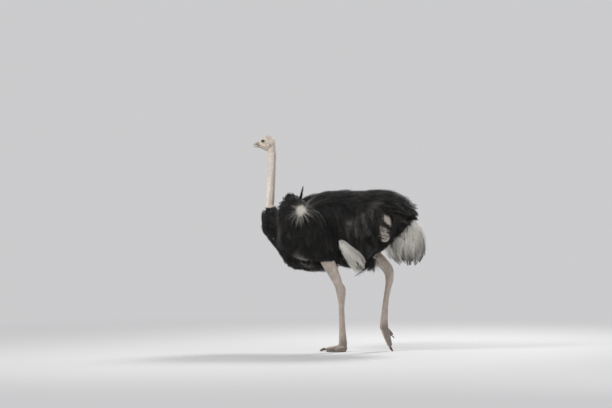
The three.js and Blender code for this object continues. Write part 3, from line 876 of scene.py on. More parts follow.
class Surface:
    """The coat's outside: its points and triangles, and the nearest place on it to any point."""

    def __init__(self, flesh):
        flesh.normal_update()
        self.tree = BVHTree.FromBMesh(flesh)
        self.points = np.array([vert.co for vert in flesh.verts])
        self.normals = np.array([vert.normal for vert in flesh.verts])
        corners = [[loop.vert.index for loop in triangle] for triangle in flesh.calc_loop_triangles()]
        self.triangles = np.array(corners)
        flesh.free()

    def nearest(self, places):
        """The nearest point of the surface to each place, and the way out there."""
        found = [self.tree.find_nearest(place) for place in places]
        return np.array([f[0] for f in found]), np.array([f[1] for f in found])

    def covers(self, places, ups):
        """Whether this lies over each place and over everything near it."""
        covered = np.ones(len(places), dtype=bool)
        for shift in 0.03 * np.array(((0, 0, 0), (1, 0, 0), (-1, 0, 0), (0, 0, 1), (0, 0, -1))):
            for number in np.where(covered)[0]:
                start = places[number] + shift - 0.02 * ups[number]
                covered[number] = self.tree.ray_cast(start, ups[number], 0.30)[0] is not None
        return covered

    def scatter(self, spacing, seed, wanted=None):
        """Roots spread evenly, one for each cell of a grid of this spacing."""
        dice = np.random.default_rng(seed)
        triangles = self.triangles
        if wanted is not None:
            triangles = triangles[wanted(self.points[triangles].mean(axis=1))]
        corners = self.points[triangles]
        edges = corners[:, 1:] - corners[:, :1]
        area = np.linalg.norm(np.cross(edges[:, 0], edges[:, 1]), axis=1)
        count = int(area.sum() / spacing**2 * 2.5)
        chosen = dice.choice(len(area), count, p=area / area.sum())
        first, second = np.sqrt(dice.random(count)), dice.random(count)
        shares = np.stack((1 - first, first * (1 - second), first * second), axis=1)
        places = (corners[chosen] * shares[..., None]).sum(axis=1)
        ups = unit((self.normals[triangles[chosen]] * shares[..., None]).sum(axis=1))
        cells = np.floor(places / spacing + dice.random(3)).astype(int)
        kept = np.sort(np.unique(cells, axis=0, return_index=True)[1])
        return places[kept], ups[kept]


def along(vectors, ways):
    """How far each vector goes in its way."""
    return (vectors * ways).sum(axis=-1, keepdims=True)


def lead(surface, roots, ups, flow, length, depth, rise, cling, steps=4):
    """Leads each shaft from its root, at its depth, along the flow and out to the outside."""
    depth, rise, cling = [np.broadcast_to(value, len(roots)) for value in (depth, rise, cling)]
    at = roots - ups * depth[:, None]
    path, normals = [at], [ups]
    for step in range(1, steps + 1):
        lie = flow(at)
        lie = unit(lie - ups * along(lie, ups) * cling[:, None])
        at = at + lie * (length / steps)[:, None]
        near, ups = surface.nearest(at)
        lift = along(at - near, ups)[:, 0]
        share = step / steps
        wanted = rise * share**1.5 - depth * (1.0 - share) ** 1.7
        at = at + ups * ((wanted - lift) * cling)[:, None]
        path.append(at)
        normals.append(ups)
    return np.stack(path, axis=1), np.stack(normals, axis=1)


def locks_of(roots, plumes, seed):
    """The plume that each plume gathers round, with about this many plumes in a lock."""
    dice = np.random.default_rng(seed)
    guides = dice.choice(len(roots), max(len(roots) // plumes, 1), replace=False)
    gap = np.linalg.norm(roots[:, None] - roots[guides][None], axis=2)
    return guides[gap.argmin(axis=1)]


def gathered(path, lock, pull):
    """Draws the tips of each lock's plumes together."""
    share = np.linspace(0.0, 1.0, path.shape[1])[None, :, None] ** 1.3
    return path + (path[lock] - path) * share * np.broadcast_to(pull, len(path))[:, None, None]


def wanderings(places, wave_length, seed):
    """Soft random ways, one at each place."""
    return np.stack([drift(places, wave_length, seed + k) for k in range(3)], axis=1)


def unwrapped(places, axis):
    """Where each root lies on the hide rolled out round an axis: the turn, and the way along."""
    across = [k for k in range(3) if k != axis]
    middle = (places.max(axis=0) + places.min(axis=0)) / 2
    turn = np.arctan2(places[:, across[0]] - middle[across[0]], places[:, across[1]] - middle[across[1]])
    low, high = places[:, axis].min(), places[:, axis].max()
    way = (places[:, axis] - low) / (high - low + 1e-6)
    return 0.01 + 0.98 * np.stack((turn / (2 * math.pi) + 0.5, way), axis=1)


def ribbons(origin, start, finish, tilt, size, width, joints):
    """Tapered, bent blades: two points at each joint and one at the tip."""
    ways = {1: [start], 2: [start, finish], 3: [start, unit(start + finish), finish]}[joints]
    place, points = origin, []
    for number, way in enumerate(ways):
        heading = way if number == 0 else unit(ways[number - 1] + way)
        edge = unit(np.cross(heading, tilt)) * width * (0.30, 0.50, 0.38)[number]
        points += [place - edge, place + edge]
        place = place + way * size / joints
    return np.stack(points + [place], axis=-2)


def ribbon_faces(count, joints, first):
    """The four-sided and three-sided faces of that many blades, from their first point on."""
    offset = first + np.arange(count)[:, None, None] * (2 * joints + 1)
    quads = np.array([(2 * k, 2 * k + 1, 2 * k + 3, 2 * k + 2) for k in range(joints - 1)], dtype=int)
    tips = np.array(((2 * joints - 2, 2 * joints - 1, 2 * joints),))
    return (offset + quads.reshape(1, -1, 4)).reshape(-1, 4), (offset + tips[None]).reshape(-1, 3)


def coat_piece(name, points, colours, patches, quads, triangles, paint, slot, replaced):
    """One joined mesh with its colours and its OFBake map."""
    mesh = bpy.data.meshes.new(name)
    mesh.vertices.add(len(points))
    mesh.vertices.foreach_set("co", points.astype(np.float32).ravel())
    loops = np.concatenate((quads.ravel(), triangles.ravel()))
    mesh.loops.add(len(loops))
    mesh.loops.foreach_set("vertex_index", loops.astype(np.int32))
    starts = np.concatenate((np.arange(len(quads)) * 4, len(quads) * 4 + np.arange(len(triangles)) * 3))
    mesh.polygons.add(len(starts))
    mesh.polygons.foreach_set("loop_start", starts.astype(np.int32))
    mesh.polygons.foreach_set("use_smooth", np.ones(len(starts), dtype=bool))
    mesh.update(calc_edges=True)
    label(mesh, "plume_colour", np.clip(colours, 0.0, 1.0))
    bake = mesh.uv_layers.new(name="OFBake")
    bake.data.foreach_set("uv", patches[loops].astype(np.float32).ravel())
    mesh.materials.append(paint)
    made = bpy.data.objects.new(name, mesh)
    bpy.context.collection.objects.link(made)
    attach(made, "root")
    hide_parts(*replaced)


def keeled_shafts(path, ups, thickness):
    """Closed, tapered, three-sided shafts along the paths: their points, quads and triangles."""
    count, rings = path.shape[:2]
    steps, span = rings - 1, rings * 3 - 2
    aside = unit(np.cross(unit(np.gradient(path, axis=1)), ups))[:, :-1]
    rest = np.linspace(0.0, 1.0, rings)[:-1]
    taper = (1.0 - rest) ** 0.7 * (0.55 + 0.45 * np.minimum(rest * 6, 1.0))
    half = thickness[:, None, None] * taper[None, :, None]
    middle = path[:, :-1]
    body = np.stack((middle - aside * half, middle + aside * half, middle + ups[:, :-1] * half * 0.9), axis=2)
    points = np.concatenate((body.reshape(count, steps * 3, 3), path[:, -1:]), axis=1)
    ring = np.arange(steps - 1)[:, None] * 3
    walls = [ring + np.array((face,)) for face in ((0, 2, 5, 3), (2, 1, 4, 5), (1, 0, 3, 4))]
    end, tip = (steps - 1) * 3, span - 1
    caps = np.array(((0, 1, 2), (end, end + 2, tip), (end + 2, end + 1, tip), (end + 1, end, tip)))
    offset = np.arange(count)[:, None, None] * span
    quads = (offset + np.concatenate(walls)[None]).reshape(-1, 4)
    return points, quads, (offset + caps[None]).reshape(-1, 3)


def barbs_along(path, ups, length, t, cut, dice):
    """The points of each shaft's barbs, at the shares t of its length and on its two sides by turns."""
    steps = path.shape[1] - 1
    knot = np.minimum((t * steps).astype(int), steps - 1)
    part = (t * steps - knot)[..., None]
    which = np.arange(len(path))[:, None]
    origin = path[which, knot] * (1 - part) + path[which, knot + 1] * part
    forward = unit(path[which, knot + 1] - path[which, knot])
    up = unit(ups[which, knot] * (1 - part) + ups[which, knot + 1] * part)
    out = unit(np.cross(forward, up)) * np.tile((-1.0, 1.0), cut["barbs"])[None, :, None]
    near, far = cut["splay"]
    angle = (near + (far - near) * t + dice.normal(0.0, 0.26, t.shape))[..., None]
    size = (cut["reach"] * length + 0.001)[:, None] * (0.45 + 0.55 * np.sin(math.pi * t**0.75))
    size = (size * dice.uniform(0.55, 1.35, t.shape))[..., None]
    loft = up * dice.normal(0.02, cut["loft"], t.shape)[..., None]
    start = unit(forward * np.cos(angle) + out * np.sin(angle) + loft)
    curl = up * dice.normal(-0.06, cut["loft"] * 1.4, t.shape)[..., None]
    hang = np.array((0.0, 0.0, -cut["droop"]))
    finish = unit(start * (1 - cut["bend"]) + forward * cut["bend"] + curl + hang)
    tilt = unit(up + out * dice.normal(0.0, 0.45, t.shape)[..., None])
    width = cut["width"] * dice.uniform(0.75, 1.25, t.shape)[..., None]
    return ribbons(origin, start, finish, tilt, size, width, cut["joints"]).reshape(-1, 3)


def plume_piece(name, path, ups, patch, root_colour, tip_colour, cut, seed, **piece):
    """A piece of many plumes, each a closed keeled shaft with barbs of the given cut."""
    dice = np.random.default_rng(seed)
    count, rings = path.shape[:2]
    barbs, joints = cut["barbs"], cut["joints"]
    length = np.linalg.norm(np.diff(path, axis=1), axis=2).sum(axis=1)
    shafts, shaft_quads, shaft_triangles = keeled_shafts(path, ups, cut["shaft"] * length + 0.0003)
    span = shafts.shape[1]
    rows = np.repeat(np.linspace(0.07, 0.985, barbs), 2)
    t = rows[None] + dice.uniform(-0.4, 0.4, (count, 2 * barbs)) / max(barbs, 1)
    t = np.clip(t, 0.02, 0.995)
    blades = barbs_along(path, ups, length, t, cut, dice)
    blade_quads, blade_triangles = ribbon_faces(count * 2 * barbs, joints, count * span)

    # Each point's place on its plume laid flat, across and along, for the tones and the bake map.
    blade_points = 2 * joints + 1
    shaft_across = np.append(np.tile((-0.2, 0.2, 0.0), rings - 1), 0.0)
    shaft_along = np.append(np.repeat(np.linspace(0.0, 1.0, rings)[:-1], 3), 1.0)
    reach = np.append(np.repeat(np.linspace(0.1, 0.75, joints), 2), 1.0)
    blade_across = np.outer(np.tile((-1.0, 1.0), count * barbs), reach).ravel()
    across = np.concatenate((np.tile(shaft_across, count), blade_across))
    onward = np.concatenate((np.tile(shaft_along, count), np.repeat(t, blade_points)))
    plumes = np.arange(count)
    owner = np.concatenate((np.repeat(plumes, span), np.repeat(plumes, 2 * barbs * blade_points)))
    patches = patch[owner] + TUFT_PATCH * np.stack((across / 2, onward - 0.5), axis=1)
    fade = onward * (0.55 + 0.45 * np.abs(across))
    vary = np.repeat(dice.uniform(0.80, 1.20, count * 2 * barbs), blade_points)
    vary = np.concatenate((np.ones(count * span), vary))[:, None]
    coat_piece(
        name,
        points=np.concatenate((shafts.reshape(-1, 3), blades)),
        colours=mixed(root_colour[owner], tip_colour[owner], fade) * vary,
        patches=patches,
        quads=np.concatenate((shaft_quads, blade_quads)),
        triangles=np.concatenate((shaft_triangles, blade_triangles)),
        **piece,
    )


def plume_paint(name, roughness, sheen):
    """Matt barbs that keep their own colours, with fine streaks and a faint sheen."""
    paint, tree, shader = new_paint(
        name, roughness, Sheen_Weight=sheen, Sheen_Roughness=0.45, Specular_IOR_Level=0.18
    )
    place = node(tree, "TexCoord", {}).outputs["Object"]
    streak = node(tree, "TexNoise", {"Vector": place, "Scale": 140.0, "Detail": 4.0}).outputs[0]
    shade = rescale(tree, streak, 0.3, 0.7, 0.78, 1.22)
    tree.links.new(tinted(tree, stored(tree, "plume_colour", "Color"), shade), shader.inputs["Base Color"])
    rough = rescale(tree, streak, 0.3, 0.7, roughness - 0.08, roughness + 0.08)
    tree.links.new(rough, shader.inputs["Roughness"])
    return paint


BLACK = {"paint": plume_paint("black_plumes", 0.50, 0.08), "slot": "black_plumage"}
PALE = {"paint": plume_paint("white_plumes", 0.72, 0.15), "slot": "white_plume"}

# How plumes are cut: the barbs on each side and the joints in each; the barb's reach and the
# shaft's half width as shares of the plume's length; the angle of the barbs from root to tip.
BODY_CUT = {
    "barbs": 11, "joints": 2, "reach": 0.31, "width": 0.0018, "shaft": 0.007,
    "splay": (0.95, 0.30), "bend": 0.42, "droop": 0.18, "loft": 0.24,
}
SPIKE_CUT = {
    "barbs": 14, "joints": 2, "reach": 0.20, "width": 0.0022, "shaft": 0.010,
    "splay": (0.50, 0.10), "bend": 0.65, "droop": 0.05, "loft": 0.10,
}
COAT_BLACK = srgb(15, 14, 13)
COAT_TIP = srgb(33, 31, 29)
COAT_GREY = srgb(150, 145, 139)
PALE_STREAKS = (
    # x, z at each end, half width, strength
    (0.068, 1.280, 0.308, 1.372, 0.020, 0.55),
    (0.290, 1.375, 0.395, 1.520, 0.014, 0.50),
    (0.060, 1.255, 0.085, 1.130, 0.010, 0.30),
    (0.150, 1.290, 0.170, 1.110, 0.010, 0.25),
    (0.240, 1.210, 0.290, 1.190, 0.018, 0.30),
    (0.305, 1.330, 0.330, 1.300, 0.016, 0.40),
    (-0.602, 1.350, -0.572, 1.220, 0.010, 0.35),
    (-0.572, 1.220, -0.596, 1.060, 0.010, 0.28),
    (-0.410, 0.945, -0.320, 0.900, 0.028, 1.60),
)
BARE_PATCHES = (
    # x, z, half length, half height, lean
    (0.466, 1.293, 0.031, 0.055, 0.15),
    (0.418, 1.186, 0.036, 0.037, 0.20),
)
HEM = (
    # x, and the lowest that a plume's tip hangs there
    (-0.045, -0.010, 0.105, 0.130, 0.260, 0.270, 0.340, 0.403, 0.437, 0.507, 0.560, 0.640),
    (0.000, 0.850, 0.850, 0.000, 0.000, 0.925, 0.965, 0.984, 0.996, 1.066, 1.130, 1.200),
)
trunk_surface = Surface(trunk_outline)
wing_surfaces = {
    side: Surface(cast(copy_of("wing_" + side), voxel=0.012, smooth_steps=4)) for side in SIDES
}


def covers_bare_patch(path, margin=0.0):
    """Whether a plume's root or outer half lies on a bare patch."""
    covered = np.zeros(len(path), dtype=bool)
    for places in (path[:, 0], path[:, 2], path[:, 3], path[:, 4]):
        for x, z, half_x, half_z, lean in BARE_PATCHES:
            across = places[:, 0] - x + lean * (places[:, 2] - z)
            gap = np.hypot(across / (half_x + margin), (places[:, 2] - z) / (half_z + margin))
            covered |= (gap < 0.95) & (np.abs(places[:, 1]) > 0.10)
    return covered


def trunk_flow(places):
    """Back along the top, down the breast and the flanks, and back again under the belly."""
    x, y, z = places.T
    rump = ramp(0.30, 0.55, x) * ramp(1.15, 1.35, z)
    breast = 1.0 - ramp(-0.66, -0.48, x)
    flank = ramp(0.10, 0.24, np.abs(y)) * (1.0 - ramp(1.36, 1.50, z)) * (1.0 - rump)
    down = np.maximum(0.10 + 1.25 * flank, 1.6 * breast) + 0.12 * rump
    hem = ramp(0.16, 0.30, x) * (1.0 - ramp(1.00, 1.16, z))
    back = 1.0 - 0.78 * flank - 0.80 * breast + 0.9 * hem
    outwards = 0.22 * np.sign(y) * rump * ramp(0.04, 0.15, np.abs(y))
    lie = unit(np.stack((back, 0.0 * y, -down), axis=1))
    lie[:, 1] += outwards
    return lie + 0.26 * wanderings(places, 0.13, 31)


def streaked(places, base):
    """The plumes' own colour, greyed along the pale streaks of the side."""
    grey = np.zeros(len(places))
    for x0, z0, x1, z1, half, strength in PALE_STREAKS:
        gap = from_path(places, ((x0, z0), (x1, z1)))
        grey = np.maximum(grey, strength * swell(gap, half))
    on_side = ramp(0.10, 0.16, np.abs(places[:, 1]))
    return mixed(base, COAT_GREY, grey * on_side)


def black_tones(roots, lock, dice):
    """Root and tip colours of black plumes: each lock has its own tone, and each plume varies; the roots are
    painted darker, as painted shade deep in the coat.
    """
    tone = 0.60 * dice.normal(0.0, 1.0, len(roots))[lock] + 0.40 * drift(roots, 0.14, 43)
    tone = np.exp(tone + dice.normal(0.0, 0.25, len(roots)))
    tone = np.clip(tone, 0.25, 4.0)[:, None]
    # The roots take COAT_BLACK at 0.6: painted shade deep in the coat, between the locks.
    return COAT_BLACK * 0.6 * tone, COAT_TIP * tone


def black_piece(name, path, lifts, roots, axis, lock, dice, cut, seed, replaced="trunk"):
    """A piece of black plumes, toned by lock, with its bake map rolled out round an axis."""
    tones = black_tones(roots, lock, dice)
    plume_piece(name, path, lifts, unwrapped(roots, axis), *tones, cut, seed, replaced=[replaced], **BLACK)


dice = np.random.default_rng(40)
roots, ups = trunk_surface.scatter(spacing=0.0211, seed=41)
hidden = np.any([surface.covers(roots, ups) for surface in wing_surfaces.values()], axis=0)
roots, ups = roots[~hidden], ups[~hidden]
x, y, z = roots.T
collar = ramp(1.33, 1.39, z) * (x < -0.55)
breast = 1.0 - ramp(-0.62, -0.40, x)
rump = ramp(0.34, 0.58, x) * ramp(1.20, 1.36, z)
under_rump = ramp(0.20, 0.34, x) * (1.0 - ramp(0.98, 1.12, z))
lock = locks_of(roots, plumes=7, seed=45)
swelling = dice.random(len(roots))[lock]
length = 0.138 - 0.045 * breast - 0.020 * collar + 0.020 * rump - 0.045 * under_rump
length -= 0.070 * ramp(0.52, 0.70, x)
length = length * dice.uniform(0.75, 1.25, len(roots)) * (0.85 + 0.30 * swelling)
depth = 0.030 - 0.014 * breast
rise = 0.002 + 0.016 * swelling**2 * (1 - breast) + 0.045 * rump * swelling**2
cling = 0.95 - 0.25 * rump * ramp(0.5, 1.0, swelling)
path, lifts = lead(trunk_surface, roots, ups, trunk_flow, length, depth, rise, cling)
path = gathered(path, lock, 0.42 + 0.35 * rump - 0.15 * breast)
hanging = path[:, -1, 2] < np.interp(path[:, -1, 0], *HEM)
crossing = hanging | covers_bare_patch(path)
root_colour, tip_colour = black_tones(roots, lock, dice)
root_colour, tip_colour = streaked(path[:, 1], root_colour), streaked(path[:, 3], tip_colour)
regions = np.select([x < -0.50, rump > 0.4, (y < 0) & (x < 0.12), (y < 0), x < 0.12], [0, 1, 2, 3, 4], 5)
patch = unwrapped(roots, 0)
names = ("breast", "rump", "back_left", "flank_left", "back_right", "flank_right")
for region, name in enumerate(names):
    mine = (regions == region) & ~crossing
    plume_piece(
        "coat_" + name, path[mine], lifts[mine], patch[mine], root_colour[mine], tip_colour[mine],
        SPIKE_CUT if name == "rump" else BODY_CUT, 50 + region, replaced=["trunk"], **BLACK,
    )

# Stiff pointed tufts that break the outline of the back and stand out over the rump and tail.
TUFT_CUT = {
    "barbs": 8, "joints": 2, "reach": 0.15, "width": 0.0022, "shaft": 0.010,
    "splay": (0.45, 0.10), "bend": 0.60, "droop": 0.05, "loft": 0.10,
}
TUFT_PLUMES = 7


def grows_tufts(places):
    """Over the back, and lower down at the rump."""
    return (places[:, 0] > -0.15) & (places[:, 2] > 1.27 - 0.25 * ramp(0.38, 0.46, places[:, 0]))


def tufts_round(surface, centres, spread, dice):
    """Roots close round each tuft's centre, and each tuft's chance of standing out."""
    roots = np.repeat(centres, TUFT_PLUMES, axis=0)
    roots, ups = surface.nearest(roots + dice.normal(0.0, spread, roots.shape))
    lock = np.repeat(np.arange(len(centres)) * TUFT_PLUMES, TUFT_PLUMES)
    return roots, ups, lock, dice.random(len(centres)).repeat(TUFT_PLUMES)


centres, ups = trunk_surface.scatter(spacing=0.042, seed=56, wanted=grows_tufts)
dice = np.random.default_rng(57)
rump = ramp(0.15, 0.42, centres[:, 0])
shown = (ups[:, 2] + 0.9 * rump > 0.45) & (dice.random(len(centres)) < 0.30 + 0.60 * rump)
roots, ups, lock, stand = tufts_round(trunk_surface, centres[shown], 0.011, dice)
rump = rump[shown].repeat(TUFT_PLUMES)
far = ramp(0.56, 0.66, roots[:, 0])
length = (0.085 + 0.055 * stand) * (1.0 + 0.25 * rump - 0.60 * far) * dice.uniform(0.85, 1.1, len(roots))
rise = 0.010 + 0.008 * stand + rump * (0.014 + 0.040 * stand) * (1.0 - 0.5 * far)
path, lifts = lead(
    trunk_surface, roots, ups, lambda at: trunk_flow(at) + 0.20 * wanderings(at, 0.06, 58), length,
    depth=0.020, rise=rise, cling=0.72 - 0.30 * rump,
)
path = gathered(path, lock, 0.86)
bared = covers_bare_patch(path, 0.014)
tufted = ~bared.reshape(-1, TUFT_PLUMES).any(axis=1).repeat(TUFT_PLUMES)
root_colour, tip_colour = black_tones(roots, lock, dice)
# The tufts' tips are painted 1.3 times lighter, as a painted highlight over the back and rump.
plume_piece(
    "coat_tufts", path[tufted], lifts[tufted], unwrapped(roots[tufted], 0), root_colour[tufted],
    1.3 * tip_colour[tufted], TUFT_CUT, 59, replaced=["trunk"], **BLACK,
)

# A fringe that hangs below the breast in front of the legs.
FRINGE_HEM = ((-0.600, -0.556, -0.532, -0.431, -0.298, -0.240), (0.980, 0.880, 0.840, 0.820, 0.800, 0.810))


def under_breast(places):
    """The trunk's underside from the crop to the legs."""
    return (places[:, 0] > -0.61) & (places[:, 0] < -0.26) & (places[:, 2] < 1.02)


roots, ups = trunk_surface.scatter(spacing=0.024, seed=38, wanted=under_breast)
dice = np.random.default_rng(39)
fall = roots[:, 2] + 0.02 - np.interp(roots[:, 0], *FRINGE_HEM) - 1.2 * roots[:, 1] ** 2
shown = (ups[:, 2] < 0.2) & (fall > 0.02) & (fall < 0.15)
roots, ups, fall = roots[shown], ups[shown], fall[shown]
path, lifts = lead(
    trunk_surface, roots, ups, lambda at: np.array((0.02, 0.0, -1.0)) + 0.14 * wanderings(at, 0.06, 37),
    np.maximum(fall, 0.05) * dice.uniform(0.75, 1.12, len(roots)), depth=0.020, rise=0.010, cling=0.12,
)
lock = locks_of(roots, plumes=6, seed=36)
black_piece("coat_fringe", gathered(path, lock, 0.55), lifts, roots, 0, lock, dice, BODY_CUT, 35)

# Short feathers close to the hide: under the rump, past the hem of the long coat, and in the
# hollow between the breast and each wing.
SHORT_CUT = {
    "barbs": 6, "joints": 2, "reach": 0.30, "width": 0.0018, "shaft": 0.012,
    "splay": (0.90, 0.35), "bend": 0.45, "droop": 0.20, "loft": 0.15,
}


def part_of_skin(wanted):
    """The hide's own surface, where it is wanted."""
    part = bmesh.new()
    part.from_mesh(skin.data)
    others = [vert for vert in part.verts if not wanted(*vert.co)]
    bmesh.ops.delete(part, geom=others, context="VERTS")
    return Surface(part)


def inside_hem(places):
    """The hide's underside behind the legs, where the trunk's outline still covers it."""
    near, normals = trunk_surface.nearest(places)
    lift = along(places - near, normals)[:, 0]
    return (lift < -0.004) & (lift > -0.090) & (normals[:, 2] < 0.2) & (places[:, 0] < 0.62)


def beside_wing(places):
    """The hide's hollow in front of each wing, between it and the breast."""
    found = np.zeros(len(places), dtype=bool)
    for surface in wing_surfaces.values():
        near, normals = surface.nearest(places)
        lift = along(places - near, normals)[:, 0]
        found |= (lift > -0.020) & (lift < 0.045 + 0.050 * ramp(1.30, 1.36, places[:, 2]))
    return found


underside = part_of_skin(lambda x, y, z: x >= 0.20 and 0.84 <= z <= 1.24 and abs(y) <= 0.26)
roots, ups = underside.scatter(spacing=0.0255, seed=32, wanted=inside_hem)
dice = np.random.default_rng(33)
path, lifts = lead(
    underside, roots, ups, lambda at: np.array((1.0, 0.0, -0.25)) + 0.4 * wanderings(at, 0.05, 34),
    dice.uniform(0.045, 0.070, len(roots)), depth=0.002, rise=0.012, cling=0.9,
)
lock = locks_of(roots, plumes=6, seed=30)
black_piece("coat_under_rump", path, lifts, roots, 0, lock, dice, SHORT_CUT, 31)

hollow = part_of_skin(lambda x, y, z: -0.66 < x < -0.47 and 1.06 < z < 1.46)
roots, ups = hollow.scatter(spacing=0.0155, seed=26, wanted=beside_wing)
dice = np.random.default_rng(27)
path, lifts = lead(
    hollow, roots, ups, lambda at: np.array((0.20, 0.0, -1.0)) + 0.3 * wanderings(at, 0.05, 28),
    dice.uniform(0.060, 0.095, len(roots)), depth=0.002, rise=0.012, cling=0.9,
)
lock = locks_of(roots, plumes=6, seed=29)
black_piece("coat_shoulders", path, lifts, roots, 2, lock, dice, SHORT_CUT, 25)

# The collar: short dense feathers that end in a clean line round the bare neck.
COLLAR_FOOT = 1.20


def round_collar(places):
    """From the collar's foot to just above its line."""
    return (places[:, 2] > COLLAR_FOOT) & (places[:, 2] < COLLAR_LEVEL + 0.008)


neck_flesh = joined(copy_of("neck"), muscle(*NECK_ROOT), muscle(*CROP))
neck_surface = Surface(cast(neck_flesh, voxel=0.008, smooth_steps=3))
roots, ups = neck_surface.scatter(spacing=0.0131, seed=46, wanted=round_collar)
dice = np.random.default_rng(47)
length = dice.uniform(0.035, 0.055, len(roots)) + 0.030 * ramp(0.0, 0.10, COLLAR_LEVEL - roots[:, 2])
path, lifts = lead(
    neck_surface, roots, ups, lambda at: np.array((-0.1, 0.0, -1.0)) + 0.2 * wanderings(at, 0.05, 48),
    length, depth=0.001, rise=0.016, cling=0.9,
)
black_piece("coat_collar", path, lifts, roots, 2, np.arange(len(roots)), dice, SHORT_CUT, 49)

# ---------------------------------------------------------------- wings
# Each folded wing is a hanging cloak of soft black plumes that spray from a pale, nearly bare
# star at the shoulder, where the whitish quills show through.
WING_CUT = {
    "barbs": 12, "joints": 2, "reach": 0.32, "width": 0.0018, "shaft": 0.007,
    "splay": (1.00, 0.35), "bend": 0.40, "droop": 0.22, "loft": 0.24,
}
STAR_CUT = {
    "barbs": 8, "joints": 2, "reach": 0.55, "width": 0.0008, "shaft": 0.008,
    "splay": (1.2, 0.4), "bend": 0.3, "droop": 0.3, "loft": 0.55,
}
QUILL_CUT = {
    "barbs": 4, "joints": 2, "reach": 0.09, "width": 0.0009, "shaft": 0.0075,
    "splay": (0.5, 0.2), "bend": 0.4, "droop": 0.1, "loft": 0.1,
}
STAR_REACH = 0.036
STAR_BALD = 0.016
WING_MIDDLE = -0.36
WING_HEM = 0.908
STAR_PALE = srgb(243, 238, 229)
STAR_QUILL = srgb(214, 207, 197)


def from_star(places):
    """The distance from the middle of the star, varied so that its edge is ragged."""
    gap = np.hypot(places[:, 0] - STAR[0], places[:, 2] - STAR[1])
    return gap * np.maximum(1.0 + 0.34 * drift(places, 0.05, 60), 0.80)


def wing_flow(places):
    """Out from the star, turning down over the wing and back over the shoulder."""
    away = places - np.array((STAR[0], 0.0, STAR[1]))
    away[:, 1] = 0.0
    gap = np.linalg.norm(away, axis=1)
    near = np.exp(-gap / 0.13)[:, None]
    below = ramp(-0.03, 0.10, STAR[1] - places[:, 2])[:, None]
    behind = ramp(-0.06, 0.08, places[:, 0] - STAR[0])[:, None] * (1.0 - below)
    fall = np.array((0.10, 0.0, -1.0)) * below + np.array((1.0, 0.0, 0.06)) * behind
    spray = unit(away) * np.maximum(near, 0.45 * (1.0 - below))
    return spray + fall * (1.0 - near) + 0.20 * wanderings(places, 0.15, 61)


def raying(places):
    """Straight out from the star on every side."""
    away = places - np.array((STAR[0], 0.0, STAR[1]))
    away[:, 1] = 0.0
    return unit(away) + np.array((0.0, 0.0, -0.12)) + 0.15 * wanderings(places, 0.04, 64)


def tousled(places):
    """Every way at once, with a lean along the wing's lie."""
    return 0.5 * wing_flow(places) + 1.4 * wanderings(places, 0.012, 65)


